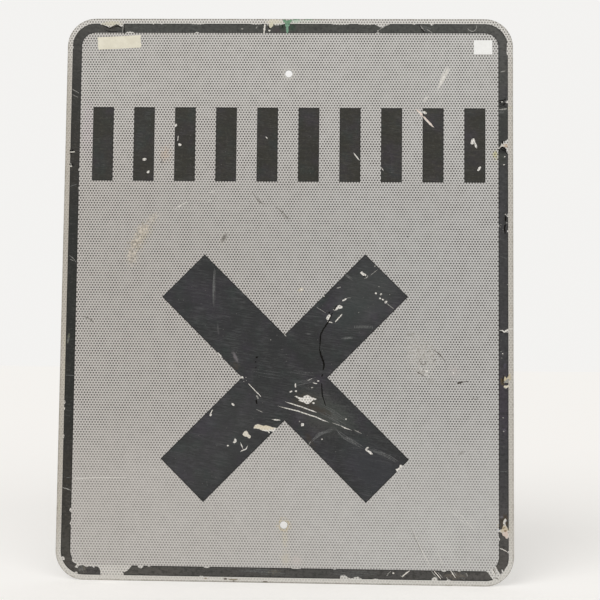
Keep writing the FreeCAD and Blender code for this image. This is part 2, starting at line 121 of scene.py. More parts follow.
class Sheet:
    """A node tree that is being drawn: adds nodes, fills their inputs and joins them."""

    def __init__(self, tree: bpy.types.NodeTree) -> None:
        """Start drawing on a tree."""
        self.tree = tree

    def put(self, target: Socket, value: object) -> None:
        """Fill an input with a value, or join it to another node's output.

        Args:
            target: The input.
            value: A number, a tuple, or the output to join it to.
        """
        if isinstance(value, bpy.types.NodeSocket):
            self.tree.links.new(value, target)
        else:
            target.default_value = value

    def node(self, kind: str, settings: dict[str, object], inputs: dict[str | int, object]) -> bpy.types.Node:
        """Add a node.

        Args:
            kind: The node's type.
            settings: Properties of the node.
            inputs: Values or outputs for its inputs, by name or number.

        Returns:
            The new node.
        """
        made = self.tree.nodes.new(kind)
        for name, value in settings.items():
            setattr(made, name, value)
        for key, value in inputs.items():
            self.put(made.inputs[key], value)
        return made

    def math(self, operation: str, first: object, second: object = 0.0, clamp: bool = False) -> Socket:
        """Do sums on one or two numbers, with the result kept between 0 and 1 where that is asked for."""
        settings = {"operation": operation, "use_clamp": clamp}
        return self.node("ShaderNodeMath", settings, {0: first, 1: second}).outputs[0]

    def times(self, first: object, second: object) -> Socket:
        """Multiply two numbers."""
        return self.math("MULTIPLY", first, second)

    def greatest(self, *values: object) -> Socket:
        """Take the greatest of some numbers."""
        return reduce(lambda first, second: self.math("MAXIMUM", first, second), values)

    def vector(self, operation: str, *values: object) -> Socket:
        """Do sums on vectors: the result is a number for a length, and otherwise a vector."""
        made = self.node("ShaderNodeVectorMath", {"operation": operation}, dict(enumerate(values)))
        return made.outputs["Value" if operation == "LENGTH" else "Vector"]

    def scaled(self, value: object, factor: object) -> Socket:
        """Multiply a vector by one number."""
        made = self.node("ShaderNodeVectorMath", {"operation": "SCALE"}, {0: value, "Scale": factor})
        return made.outputs["Vector"]

    def combined(self, x: object, y: object, z: object = 0.0) -> Socket:
        """Make a vector of three numbers."""
        return self.node("ShaderNodeCombineXYZ", {}, {0: x, 1: y, 2: z}).outputs[0]

    def parts(self, value: object) -> tuple[Socket, ...]:
        """Split a vector into its three numbers."""
        return tuple(self.node("ShaderNodeSeparateXYZ", {}, {0: value}).outputs)

    def spread(self, value: object, low: object, high: object, start: object = 0.0, end: object = 1.0) -> Socket:
        """Bring a range of values smoothly onto another: low gives the start, and high gives the end."""
        inputs = {"Value": value, "From Min": low, "From Max": high, "To Min": start, "To Max": end}
        return self.node("ShaderNodeMapRange", {"interpolation_type": "SMOOTHSTEP"}, inputs).outputs["Result"]

    def blend(self, share: object, first: object, second: object) -> Socket:
        """Blend two colours, by the share of the second one."""
        settings = {"data_type": "RGBA", "blend_type": "MIX"}
        return self.node("ShaderNodeMix", settings, {0: share, 6: first, 7: second}).outputs[2]

    def veil(self, colour: object, mask: object, share: object, tint: Rgb) -> Socket:
        """Lay a tint over a colour, by a share of a mask."""
        return self.blend(self.times(mask, share), colour, linear(tint))

    def noise(self, place: object, scale: object, detail: float, roughness: float) -> Socket:
        """Smooth noise from 0 to 1: its cells for each millimetre, its finer layers and their strength."""
        inputs = {"Vector": place, "Scale": scale, "Detail": detail, "Roughness": roughness}
        return self.node("ShaderNodeTexNoise", {}, inputs).outputs[0]

    def turned(self, place: object, centre: object, turn: object, reach: object) -> Socket:
        """Bring a place into a frame with its own middle, turn in three angles, and units along its axes."""
        inputs = {"Vector": place, "Location": centre, "Rotation": turn, "Scale": reach}
        return self.node("ShaderNodeMapping", {"vector_type": "TEXTURE"}, inputs).outputs[0]

    def effect(self, effect: "Effect", **inputs: object) -> tuple[Socket, ...]:
        """Place an effect's node group.

        Args:
            effect: The effect.
            inputs: Values or outputs for its inputs, with underscores for spaces.

        Returns:
            Its outputs in order.
        """
        named = {name.replace("_", " "): value for name, value in inputs.items()}
        made = self.node("ShaderNodeGroup", {"node_tree": effect.tree()}, named)
        return tuple(made.outputs)


class Effect:
    """A shader node group that is built once and placed in each material with its own values."""

    name: ClassVar[str] = "Effect"
    takes: ClassVar[dict[str, object]] = {}
    gives: ClassVar[tuple[str, ...]] = ("Mask",)

    def draw(self, sheet: Sheet, inputs: Sequence[Socket]) -> tuple[Socket, ...]:
        """Draw the group's nodes.

        Args:
            sheet: The group's sheet.
            inputs: The group's inputs in order.

        Returns:
            What the group puts out, in the order of its named outputs.
        """
        raise NotImplementedError

    def tree(self) -> bpy.types.NodeTree:
        """Get the node group, and build it the first time.

        Returns:
            The group's node tree.
        """
        known = bpy.data.node_groups.get(self.name)
        if known:
            return known
        tree = bpy.data.node_groups.new(self.name, "ShaderNodeTree")
        for name, default in self.takes.items():
            kind = "NodeSocketVector" if isinstance(default, tuple) else "NodeSocketFloat"
            tree.interface.new_socket(name, in_out="INPUT", socket_type=kind).default_value = default
        for name in self.gives:
            tree.interface.new_socket(name, in_out="OUTPUT", socket_type="NodeSocketFloat")
        sheet = Sheet(tree)
        entry = sheet.node("NodeGroupInput", {}, {})
        results = self.draw(sheet, entry.outputs[:len(self.takes)])
        sheet.node("NodeGroupOutput", {}, dict(zip(self.gives, results)))
        return tree


class Honeycomb(Effect):
    """The dots of reflective sheeting: rows of round dots, each row shifted by half a pitch, and the gaps."""

    WIDEST: ClassVar[float] = 0.54

    name = "Honeycomb dots"
    takes = {"Place": ORIGIN, "Pitch": 3.75, "Row": 3.25, "Dot": 1.0, "Edge": 0.4}
    gives = ("Mask", "Gaps")

    def draw(self, sheet: Sheet, inputs: Sequence[Socket]) -> tuple[Socket, ...]:
        """Draw the two interlaced grids of dots and take the nearer dot.

        Args:
            sheet: The group's sheet.
            inputs: The group's inputs in order.

        Returns:
            The dots, and the gaps, which are full where the pitch times WIDEST is left to the nearest dot.
        """
        place, pitch, row, dot, edge = inputs
        half_pitch = sheet.times(pitch, 0.5)
        half = sheet.combined(half_pitch, row, 1.0)
        lowest = sheet.scaled(half, -1.0)
        shift = sheet.combined(half_pitch, row)
        even = sheet.vector("LENGTH", sheet.vector("WRAP", place, half, lowest))
        moved = sheet.vector("ADD", place, shift)
        odd = sheet.vector("LENGTH", sheet.vector("WRAP", moved, half, lowest))
        nearest = sheet.math("MINIMUM", even, odd)
        outside = sheet.math("ADD", dot, edge)
        inside = sheet.math("SUBTRACT", dot, edge)
        widest = sheet.times(pitch, self.WIDEST)
        return sheet.spread(nearest, outside, inside), sheet.spread(nearest, outside, widest)


class Patch(Effect):
    """A soft-edged oval patch, such as a stain, with an edge that wanders with a noise."""

    WANDER_GAIN: ClassVar[float] = 4.0

    name = "Soft patch"
    takes = {
        "Place": ORIGIN, "Centre": ORIGIN, "Reach": (1.0, 1.0, 1.0), "Turn": ORIGIN, "Wander": 0.5, "Ragged": 0.5,
        "Soft": 0.6,
    }

    def draw(self, sheet: Sheet, inputs: Sequence[Socket]) -> tuple[Socket, ...]:
        """Draw the distance from the middle, roughen it and soften its edge.

        Args:
            sheet: The group's sheet.
            inputs: The group's inputs in order.

        Returns:
            The patch.
        """
        place, centre, reach, turn, wander, ragged, soft = inputs
        local = sheet.turned(place, centre, turn, reach)
        wander = sheet.times(sheet.math("SUBTRACT", wander, 0.5), ragged)
        distance = sheet.math("ADD", sheet.vector("LENGTH", local), sheet.times(wander, self.WANDER_GAIN))
        return (sheet.spread(distance, 1.0, sheet.math("SUBTRACT", 1.0, soft)),)


class Streaks(Effect):
    """Fine parallel streaks: noise drawn out along one direction."""

    NOISE: ClassVar[tuple[float, float, float]] = (1.0, 3.0, 0.6)

    name = "Streaks"
    takes = {"Place": ORIGIN, "Turn": ORIGIN, "Length": 40.0, "Width": 1.0, "Low": 0.3, "High": 0.7}

    def draw(self, sheet: Sheet, inputs: Sequence[Socket]) -> tuple[Socket, ...]:
        """Draw noise in a stretched frame and keep the part of its range that is asked for.

        Args:
            sheet: The group's sheet.
            inputs: The group's inputs in order.

        Returns:
            The streaks.
        """
        place, turn, length, width, low, high = inputs
        reach = sheet.combined(length, width, 1.0)
        local = sheet.turned(place, ORIGIN, turn, reach)
        return (sheet.spread(sheet.noise(local, *self.NOISE), low, high),)


class Specks(Effect):
    """Small round specks strewn over the surface."""

    name = "Specks"
    takes = {"Place": ORIGIN, "Spacing": 10.0, "Size": 0.1, "Share": 0.5}

    def draw(self, sheet: Sheet, inputs: Sequence[Socket]) -> tuple[Socket, ...]:
        """Draw one speck in each cell, and keep only a share of the cells.

        Args:
            sheet: The group's sheet.
            inputs: The group's inputs in order.

        Returns:
            The specks.
        """
        place, spacing, size, share = inputs
        scale = sheet.math("DIVIDE", 1.0, spacing)
        cells = sheet.node("ShaderNodeTexVoronoi", {}, {"Vector": place, "Scale": scale})
        red = sheet.node("ShaderNodeSeparateColor", {}, {0: cells.outputs["Color"]}).outputs[0]
        kept = sheet.math("LESS_THAN", red, share)
        inside = sheet.times(size, 0.5)
        round_speck = sheet.spread(cells.outputs["Distance"], size, inside)
        return (sheet.times(round_speck, kept),)


class Mottle(Effect):
    """Cloudy variation of tone, in patches of a given size."""

    FINER_NOISE: ClassVar[tuple[float, float]] = (4.0, 0.6)

    name = "Mottle"
    takes = {"Place": ORIGIN, "Size": 30.0, "Low": 0.35, "High": 0.65}
    gives = ("Value",)

    def draw(self, sheet: Sheet, inputs: Sequence[Socket]) -> tuple[Socket, ...]:
        """Draw layered noise, and keep the part of its range that is asked for.

        Args:
            sheet: The group's sheet.
            inputs: The group's inputs in order.

        Returns:
            The clouds.
        """
        place, size, low, high = inputs
        scale = sheet.math("DIVIDE", 1.0, size)
        return (sheet.spread(sheet.noise(place, scale, *self.FINER_NOISE), low, high),)


class PanelDepth(Effect):
    """How far a place lies in from the edge of a rounded panel about the middle of the sign."""

    name = "Depth from the edge"
    takes = {"Place": ORIGIN, "Half size": (*PANEL_HALF, 1.0), "Radius": PANEL_RADIUS}
    gives = ("Depth",)

    def draw(self, sheet: Sheet, inputs: Sequence[Socket]) -> tuple[Socket, ...]:
        """Draw the distance to a rounded rectangle, counted inwards.

        Args:
            sheet: The group's sheet.
            inputs: The group's inputs in order.

        Returns:
            The depth.
        """
        place, half_size, radius = inputs
        bend = sheet.combined(radius, radius)
        core = sheet.vector("SUBTRACT", half_size, bend)
        beyond = sheet.vector("SUBTRACT", sheet.vector("ABSOLUTE", place), core)
        flat = sheet.vector("MULTIPLY", beyond, (1.0, 1.0, 0.0))
        outside = sheet.vector("LENGTH", sheet.vector("MAXIMUM", flat, ORIGIN))
        across, up, _ = sheet.parts(flat)
        inside = sheet.math("MINIMUM", sheet.greatest(across, up), 0.0)
        distance = sheet.math("SUBTRACT", sheet.math("ADD", outside, inside), radius)
        return (sheet.times(distance, -1.0),)


class BoxDepth(Effect):
    """How far a place lies in from the edge of a turned box, or of the nearest box of an even row."""

    name = "Depth in a box"
    takes = {"Place": ORIGIN, "Centre": ORIGIN, "Turn": ORIGIN, "Half size": (1.0, 1.0, 1.0), "Pitch": FAR}
    gives = ("Depth",)

    def draw(self, sheet: Sheet, inputs: Sequence[Socket]) -> tuple[Socket, ...]:
        """Draw the lesser of the distances to the box's sides and to its ends.

        Args:
            sheet: The group's sheet.
            inputs: The group's inputs in order.

        Returns:
            The depth.
        """
        place, centre, turn, half_size, pitch = inputs
        local = sheet.turned(place, centre, turn, (1.0, 1.0, 1.0))
        reach = sheet.combined(sheet.times(pitch, 0.5), FAR, 1.0)
        nearest = sheet.vector("WRAP", local, reach, sheet.scaled(reach, -1.0))
        beyond = sheet.vector("SUBTRACT", half_size, sheet.vector("ABSOLUTE", nearest))
        across, up, _ = sheet.parts(beyond)
        return (sheet.math("MINIMUM", across, up),)


@dataclass(frozen=True)
class Stain:
    """A soft patch of another colour on a surface.

    Attributes:
        place: Its middle.
        reach: Half its length and half its width.
        turn: Its turn in degrees.
        tint: Its colour.
        strength: How much it covers at its middle, from 0 to 1.
        ragged: How far its edge wanders.
        soft: How much of its reach fades out.
    """

    place: Point
    reach: Point
    turn: float
    tint: Rgb
    strength: float
    ragged: float
    soft: float


@dataclass(frozen=True)
class Clouds:
    """Cloudy patches: their size, and the noise at which they start and at which they are full."""

    size: float
    low: float = 0.35
    high: float = 0.65

    def drawn(self, surface: "Surface") -> Socket:
        """Draw the patches over a surface."""
        return surface.placed(Mottle(), Size=self.size, Low=self.low, High=self.high)


@dataclass(frozen=True)
class Lines:
    """Parallel streaks: their length, width and turn in degrees, and the noise as for clouds."""

    length: float
    width: float
    turn: float
    low: float
    high: float

    def drawn(self, surface: "Surface") -> Socket:
        """Draw the streaks over a surface."""
        values = {"Length": self.length, "Width": self.width, "Low": self.low, "High": self.high}
        return surface.placed(Streaks(), Turn=flat_turn(self.turn), **values)


@dataclass(frozen=True)
class Dots:
    """Specks: their spacing, their size as a share of it, and the share that is kept."""

    spacing: float
    size: float
    share: float

    def drawn(self, surface: "Surface") -> Socket:
        """Draw the specks over a surface."""
        return surface.placed(Specks(), Spacing=self.spacing, Size=self.size, Share=self.share)


Pattern = Clouds | Lines | Dots


@dataclass(frozen=True)
class Veil:
    """A tint that shows in a pattern: the pattern, how much it covers, and the tint."""

    pattern: Pattern
    share: float
    tint: Rgb


@dataclass(frozen=True)
class Tone:
    """A value that follows a pattern: the pattern, and the value where it is empty and where it is full."""

    pattern: Pattern
    empty: float
    full: float


class Surface:
    """A material that is being made: a shader with its colour, roughness and height."""

    WANDER_NOISE: ClassVar[tuple[float, float, float]] = (0.35, 3.0, 0.65)

    def __init__(self, name: str) -> None:
        """Start a material with a shader and the place on the face in millimetres.

        Args:
            name: The material's name.
        """
        self.material = bpy.data.materials.new(name)
        self.material.use_nodes = True
        self.material.node_tree.nodes.clear()
        self.sheet = Sheet(self.material.node_tree)
        self.shader = self.sheet.node("ShaderNodeBsdfPrincipled", {}, {})
        self.sheet.node("ShaderNodeOutputMaterial", {}, {"Surface": self.shader.outputs[0]})
        across, _, up = self.sheet.parts(self.sheet.node("ShaderNodeTexCoord", {}, {}).outputs["Object"])
        self.across = self.sheet.times(across, 1 / MM)
        self.up = self.sheet.times(up, 1 / MM)
        self.place = self.sheet.combined(self.across, self.up)
        self.masks: dict[Pattern, Socket] = {}

    @cached_property
    def wander(self) -> Socket:
        """The noise that the edges of stains wander with."""
        return self.sheet.noise(self.place, *self.WANDER_NOISE)

    def set_evenly(self, **values: object) -> None:
        """Set inputs of the shader that are the same all over, with underscores for spaces in their names."""
        for name, value in values.items():
            self.shader.inputs[name.replace("_", " ")].default_value = value

    def placed(self, effect: Effect, **inputs: object) -> Socket:
        """Place an effect on the face and take its first output."""
        return self.sheet.effect(effect, Place=self.place, **inputs)[0]

    def mask(self, pattern: Pattern) -> Socket:
        """Draw a pattern over the face, or find it where it is drawn already.

        Args:
            pattern: The pattern.

        Returns:
            Its mask.
        """
        if pattern not in self.masks:
            self.masks[pattern] = pattern.drawn(self)
        return self.masks[pattern]

    def toned(self, tone: Tone) -> Socket:
        """Draw a value that follows a pattern."""
        return self.sheet.spread(self.mask(tone.pattern), 0.0, 1.0, tone.empty, tone.full)

    def veiled(self, colour: object, *veils: Veil, factor: float = 1.0) -> Socket:
        """Lay veils over a colour.

        Args:
            colour: The colour underneath.
            veils: The veils, the lowest first.
            factor: What the share of each is multiplied by.

        Returns:
            The veiled colour.
        """
        for veil in veils:
            colour = self.sheet.veil(colour, self.mask(veil.pattern), veil.share * factor, veil.tint)
        return colour

    def cover(self, stain: Stain) -> Socket:
        """How much a stain covers each place of the face.

        Args:
            stain: The stain.

        Returns:
            The cover, from 0 to the stain's strength.
        """
        mask = self.placed(
            Patch(),
            Centre=(*stain.place, 0.0),
            Reach=(*stain.reach, 1.0),
            Turn=flat_turn(stain.turn),
            Wander=self.wander,
            Ragged=stain.ragged,
            Soft=stain.soft,
        )
        return self.sheet.times(mask, stain.strength)

    def stained(self, colour: object, stains: Sequence[Stain]) -> Socket:
        """Lay soft stains over a colour.

        Args:
            colour: The colour underneath.
            stains: The stains, the lowest first.

        Returns:
            The stained colour.
        """
        for stain in stains:
            colour = self.sheet.blend(self.cover(stain), colour, linear(stain.tint))
        return colour

    def panel_depth(self) -> Socket:
        """How far in from the edge of the sign the face is."""
        return self.placed(PanelDepth(), Half_size=(*PANEL_HALF, 1.0), Radius=PANEL_RADIUS)

    def box_depth(self, centre: Point, half_size: Point, turn: float = 0.0, pitch: float = FAR) -> Socket:
        """How far in from the edge of a turned box the face is, or of the nearest box of a row with a pitch."""
        values = {"Centre": (*centre, 0.0), "Turn": flat_turn(turn), "Half_size": (*half_size, 1.0), "Pitch": pitch}
        return self.placed(BoxDepth(), **values)

    def finished(self, colour: Socket, roughness: Socket, height: Socket, depth: float) -> bpy.types.Material:
        """Join colour, roughness and relief to the shader.

        Args:
            colour: The base colour.
            roughness: The roughness.
            height: The relief, from 0 to 1.
            depth: How high the relief is.

        Returns:
            The finished material.
        """
        bump = self.sheet.node("ShaderNodeBump", {}, {"Height": height, "Distance": depth * MM, "Strength": 1.0})
        for name, value in (("Base Color", colour), ("Roughness", roughness), ("Normal", bump.outputs[0])):
            self.sheet.put(self.shader.inputs[name], value)
        return self.material


BARED_ON_BORDER = 0.38
BARED_ELSEWHERE = 0.9


class FilmShape(Enum):
    """The three shapes that the black film was cut to before it wore."""

    BORDER = "border"
    CROSS = "cross"
    STRIPES = "stripes"

    @property
    def bared_share(self) -> float:
        """How strongly the place that the film has come off differs from the face round it."""
        return BARED_ON_BORDER if self is FilmShape.BORDER else BARED_ELSEWHERE

    def depth(self, surface: Surface) -> Socket:
        """How far in from the film's cut edge the face is.

        Args:
            surface: The surface to draw on.

        Returns:
            The depth, which is less than 0 outside the film.
        """
        sheet = surface.sheet
        if self is FilmShape.BORDER:
            depth = surface.panel_depth()
            from_outside = sheet.math("SUBTRACT", depth, BORDER_OUTSIDE)
            return sheet.math("MINIMUM", from_outside, sheet.math("SUBTRACT", BORDER_INSIDE, depth))
        if self is FilmShape.CROSS:
            return sheet.greatest(*(surface.box_depth(CROSS_MIDDLE, CROSS_ARM_HALF, turn) for turn in CROSS_TURNS))
        stripes = surface.box_depth((STRIPE_PITCH / 2, STRIPE_MIDDLE), STRIPE_HALF, pitch=STRIPE_PITCH)
        return sheet.math("MINIMUM", stripes, surface.box_depth((0.0, STRIPE_MIDDLE), STRIPE_ROW_HALF))


@dataclass(frozen=True)
class AluminiumFinish:
    """Weathered mill aluminium.

    Attributes:
        bright: Its colour where it is clean.
        oxide: Dull clouds.
        grain: Rolling grain.
        dirt: Small spots.
        scratches: Fine scratches.
        roughness: Its least and greatest roughness.
        relief: How high the grain and the scratches are.
    """

    bright: Rgb = (196, 196, 194)
    oxide: Veil = Veil(Clouds(80, 0.3, 0.75), 0.28, (150, 151, 151))
    grain: Veil = Veil(Lines(120, 0.7, 90, 0.25, 0.75), 0.35, (120, 121, 122))
    dirt: Veil = Veil(Dots(14, 0.14, 0.35), 0.5, (98, 94, 86))
    scratches: Veil = Veil(Lines(30, 0.5, 28, 0.66, 0.72), 0.5, (222, 222, 220))
    roughness: Span = (0.42, 0.54)
    relief: float = 0.02

    def material(self) -> bpy.types.Material:
        """Make the material.

        Returns:
            The material.
        """
        surface = Surface("aluminium_blank")
        sheet = surface.sheet
        colour = surface.veiled(linear(self.bright), self.oxide, self.grain, self.dirt, self.scratches)
        grain = surface.mask(self.grain.pattern)
        dulled = sheet.math("ADD", grain, surface.mask(self.oxide.pattern))
        raised = sheet.math("ADD", grain, surface.mask(self.scratches.pattern))
        surface.set_evenly(Metallic=1.0)
        return surface.finished(colour, sheet.spread(dulled, 0.0, 2.0, *self.roughness), raised, self.relief)


@dataclass(frozen=True)
class SheetingFinish:
    """Aged white reflective sheeting with its honeycomb of dots, paler where film has come off it.

    Attributes:
        stains: Soft stains that the dots show through.
        residue_and_shade: Stains that hide the dots: residue and dirt, painted shade along the bottom edge, and dirt
            with painted shadow under the tape.
        scoured: Places rubbed into fine crumbs, each with the crumbs' lighter colour.
        warm: Its colour at the left.
        cool: Its colour at the right.
        pale: The colour that it nears at the top and the bottom.
        clouds: Faint clouds over it.
        top_margin: Its colour outside the border at the top.
        side_margin: Its colour outside the border at the sides.
        foot_margin: Its colour outside the border at the bottom.
        grit: Grit on the margin.
        fresh: Its colour where film has come off.
        gluey: The colour that those places break up into.
        broken: How they break up.
        gap: The colour that the ground nears midway between its dots.
        gap_share: How near it comes to that colour.
        dot: The colour of the dots.
        pitch: Distance from dot to dot.
        dot_radius: The dots' radius.
        dot_edge: How soft their edges are.
        fading: How clearly the dots show, in patches.
        rim_patches: How the dirt and painted shade along the edge of the sign break up.
        rim_dirt_and_shade: Colour of that dirt and painted shade.
        crumbs: How the scoured places break up.
        crumb_tint: The crumbs' darker colour.
        roughness: Its roughness.
        relief: How deep the dots are.
        shine: How strongly it reflects.
    """

    BARED_EDGE: ClassVar[Span] = (-0.3, 0.3)
    PALE_HEAD: ClassVar[Ramp] = (60.0, 350.0, 0.0, 0.55)
    PALE_FOOT: ClassVar[Ramp] = (-60.0, -350.0, 0.0, 0.2)
    MARGIN_EDGE: ClassVar[Span] = (7.8, 6.4)
    MARGIN_TURN: ClassVar[Span] = (290.0, 364.0)
    MARGIN_SHARE: ClassVar[float] = 0.66
    FOOT_DOTS: ClassVar[Ramp] = (-120.0, -260.0, 1.0, 0.64)
    MARGIN_DOTS: ClassVar[Span] = (0.3, 0.82)
    BARED_DOTS: ClassVar[float] = 0.5
    RIM: ClassVar[Span] = (2.6, 0.3)
    RIM_PATCHES: ClassVar[Ramp] = (0.2, 1.0, 0.2, 0.75)

    stains: tuple[Stain, ...]
    residue_and_shade: tuple[Stain, ...]
    scoured: tuple[Stain, ...]
    warm: Rgb = (197, 192, 187)
    cool: Rgb = (198, 197, 195)
    pale: Rgb = (216, 214, 210)
    clouds: tuple[Veil, ...] = (Veil(Clouds(90), 0.1, (172, 166, 158)), Veil(Clouds(7), 0.12, (162, 158, 152)))
    top_margin: Rgb = (234, 231, 225)
    side_margin: Rgb = (202, 196, 185)
    foot_margin: Rgb = (223, 220, 213)
    grit: Veil = Veil(Clouds(2.4, 0.42, 0.7), 0.3, (146, 140, 130))
    fresh: Rgb = (238, 235, 229)
    gluey: Rgb = (216, 210, 197)
    broken: Clouds = Clouds(2.6, 0.45, 0.7)
    gap: Rgb = (236, 234, 230)
    gap_share: float = 0.4
    dot: Rgb = (60, 57, 52)
    pitch: float = 3.75
    dot_radius: float = 1.1
    dot_edge: float = 0.48
    fading: Tone = Tone(Clouds(16), 0.8, 1)
    rim_patches: Clouds = Clouds(9)
    rim_dirt_and_shade: Rgb = (138, 130, 114)
    crumbs: Clouds = Clouds(3.6, 0.42, 0.6)
    crumb_tint: Rgb = (136, 128, 116)
    roughness: Tone = Tone(Clouds(12), 0.38, 0.52)
    relief: float = 0.05
    shine: float = 0.3

    def bared(self, surface: Surface) -> Socket:
        """Draw where film used to be, fully for the cross and the stripes and less for the border.

        Args:
            surface: The surface to draw on.

        Returns:
            The mask.
        """
        sheet = surface.sheet
        bared = 0.0
        for shape in FilmShape:
            inside = sheet.spread(shape.depth(surface), *self.BARED_EDGE, 0.0, shape.bared_share)
            bared = sheet.greatest(inside, bared)
        return bared

    def ground(self, surface: Surface, outer: Socket, bared: Socket) -> Socket:
        """Draw the sheeting's own colour between its dots.

        Args:
            surface: The surface to draw on.
            outer: Where the face is outside the border.
            bared: Where film used to be.

        Returns:
            The colour.
        """
        sheet = surface.sheet
        sideways = sheet.spread(surface.across, -PANEL_HALF[0], PANEL_HALF[0])
        ground = sheet.blend(sideways, linear(self.warm), linear(self.cool))
        paler = sheet.greatest(*(sheet.spread(surface.up, *ramp) for ramp in (self.PALE_HEAD, self.PALE_FOOT)))
        ground = sheet.blend(paler, ground, linear(self.pale))
        ground = surface.stained(surface.veiled(ground, *self.clouds), self.stains)
        start, end = self.MARGIN_TURN
        margin = sheet.blend(sheet.spread(surface.up, start, end), linear(self.side_margin), linear(self.top_margin))
        margin = sheet.blend(sheet.spread(surface.up, -start, -end), margin, linear(self.foot_margin))
        ground = sheet.blend(sheet.times(outer, self.MARGIN_SHARE), ground, margin)
        gritty = sheet.times(outer, surface.mask(self.grit.pattern))
        ground = sheet.veil(ground, gritty, self.grit.share, self.grit.tint)
        broken = sheet.blend(surface.mask(self.broken), linear(self.fresh), linear(self.gluey))
        return sheet.blend(bared, ground, broken)

    def contrast(self, surface: Surface, outer: Socket, bared: Socket) -> Socket:
        """Draw how clearly the dots show.

        Args:
            surface: The surface to draw on.
            outer: Where the face is outside the border.
            bared: Where film used to be.

        Returns:
            The share, from 0 to 1.
        """
        sheet = surface.sheet
        contrast = sheet.times(sheet.spread(surface.up, *self.FOOT_DOTS), surface.toned(self.fading))
        on_margin = sheet.spread(surface.up, *self.MARGIN_TURN, *self.MARGIN_DOTS)
        for mask, kept in ((outer, on_margin), (bared, self.BARED_DOTS)):
            contrast = sheet.times(contrast, sheet.spread(mask, 0.0, 1.0, 1.0, kept))
        return contrast

    def material(self) -> bpy.types.Material:
        """Make the material.

        Returns:
            The material.
        """
        surface = Surface("white_sheeting")
        sheet = surface.sheet
        depth = surface.panel_depth()
        outer = sheet.spread(depth, *self.MARGIN_EDGE)
        bared = self.bared(surface)
        row = self.pitch * math.sqrt(3) / 2
        values = {"Pitch": self.pitch, "Row": row, "Dot": self.dot_radius, "Edge": self.dot_edge}
        dots, gaps = sheet.effect(Honeycomb(), Place=surface.place, **values)
        contrast = self.contrast(surface, outer, bared)
        colour = self.ground(surface, outer, bared)
        colour = sheet.veil(colour, sheet.times(gaps, contrast), self.gap_share, self.gap)
        colour = sheet.veil(colour, dots, contrast, self.dot)
        # Dirt and painted shade: a thin dark line along the edge of the sign.
        patchy = sheet.spread(surface.mask(self.rim_patches), *self.RIM_PATCHES)
        colour = sheet.veil(colour, sheet.spread(depth, *self.RIM), patchy, self.rim_dirt_and_shade)
        colour = surface.stained(colour, self.residue_and_shade)
        for stain in self.scoured:
            crumbled = sheet.blend(surface.mask(self.crumbs), linear(stain.tint), linear(self.crumb_tint))
            colour = sheet.blend(surface.cover(stain), colour, crumbled)
        surface.set_evenly(Specular_IOR_Level=self.shine)
        height = sheet.math("SUBTRACT", 1.0, dots)
        return surface.finished(colour, surface.toned(self.roughness), height, self.relief)


@dataclass(frozen=True)
class FilmFinish:
    """Faded black film with a brushed haze, dark cut edges, dust, specks and soft stains.

    Attributes:
        name: The material's name.
        shape: The shape that the film was cut to.
        tint: The film's colour.
        haze: The colour of the rubbed haze over it.
        haze_share: How strong the haze is.
        blotches: How strong its small blotches are.
        stains: Soft patches on it: stains, and on the border also painted shadow beside a curled flake and at the
            bites at the top left.
    """

    HUES: ClassVar[tuple[Veil, ...]] = (
        Veil(Clouds(42, 0.42, 0.85), 1, (52, 46, 56)), Veil(Clouds(30, 0.45, 0.9), 1, (40, 50, 47)),
    )
    BRUSHED: ClassVar[tuple[Lines, ...]] = (
        Lines(20, 2.4, -9, 0.42, 0.76), Lines(13, 1.9, 14, 0.5, 0.8), Lines(18, 2.2, 62, 0.56, 0.84),
    )
    BLOTCHES: ClassVar[tuple[Veil, ...]] = (
        Veil(Clouds(3.2, 0.5, 0.76), 0.24, (122, 120, 114)), Veil(Clouds(4.8, 0.45, 0.66), 0.6, (20, 20, 19)),
    )
    BRUSHED_PATCHES: ClassVar[Tone] = Tone(Clouds(26), 0.25, 1)
    HAIRS: ClassVar[tuple[Lines, ...]] = (Lines(26, 0.75, -6, 0.52, 0.72), Lines(20, 0.7, -17, 0.56, 0.76))
    HAIR_PATCHES: ClassVar[Tone] = Tone(Clouds(24), 0.04, 0.27)
    HAIR_TINT: ClassVar[Rgb] = (124, 124, 123)
    GROOVES: ClassVar[Veil] = Veil(Lines(24, 0.8, -11, 0.52, 0.7), 0.4, (22, 22, 22))
    DUST: ClassVar[Veil] = Veil(Dots(6, 0.12, 0.22), 0.45, (124, 123, 119))
    EDGE: ClassVar[Ramp] = (1.7, 0.4, 0.0, 0.8)
    EDGE_PATCHES: ClassVar[Clouds] = Clouds(2, 0.2, 0.5)
    EDGE_TINT: ClassVar[Rgb] = (20, 19, 17)
    BUMPS: ClassVar[Clouds] = Clouds(2.5)
    ROUGHNESS: ClassVar[Span] = (0.42, 0.58)
    RELIEF: ClassVar[float] = 0.008
    SHINE: ClassVar[float] = 0.3

    name: str
    shape: FilmShape
    tint: Rgb
    haze: Rgb
    haze_share: float
    blotches: float
    stains: tuple[Stain, ...] = ()

    def material(self) -> bpy.types.Material:
        """Make the material.

        Returns:
            The material.
        """
        surface = Surface(self.name)
        sheet = surface.sheet
        brushed = sheet.greatest(*map(surface.mask, self.BRUSHED))
        rubbed = sheet.times(brushed, surface.toned(self.BRUSHED_PATCHES))
        colour = surface.veiled(linear(self.tint), *self.HUES)
        colour = sheet.veil(colour, rubbed, self.haze_share, self.haze)
        colour = surface.stained(colour, self.stains)
        colour = surface.veiled(colour, *self.BLOTCHES, factor=self.blotches)
        hairs = sheet.greatest(*map(surface.mask, self.HAIRS))
        colour = sheet.veil(colour, hairs, surface.toned(self.HAIR_PATCHES), self.HAIR_TINT)
        colour = surface.veiled(colour, self.GROOVES, self.DUST)
        edge = sheet.spread(self.shape.depth(surface), *self.EDGE)
        colour = sheet.veil(colour, edge, surface.mask(self.EDGE_PATCHES), self.EDGE_TINT)
        surface.set_evenly(Specular_IOR_Level=self.SHINE)
        height = sheet.math("ADD", rubbed, surface.mask(self.BUMPS))
        return surface.finished(colour, sheet.spread(rubbed, 0.0, 1.0, *self.ROUGHNESS), height, self.RELIEF)


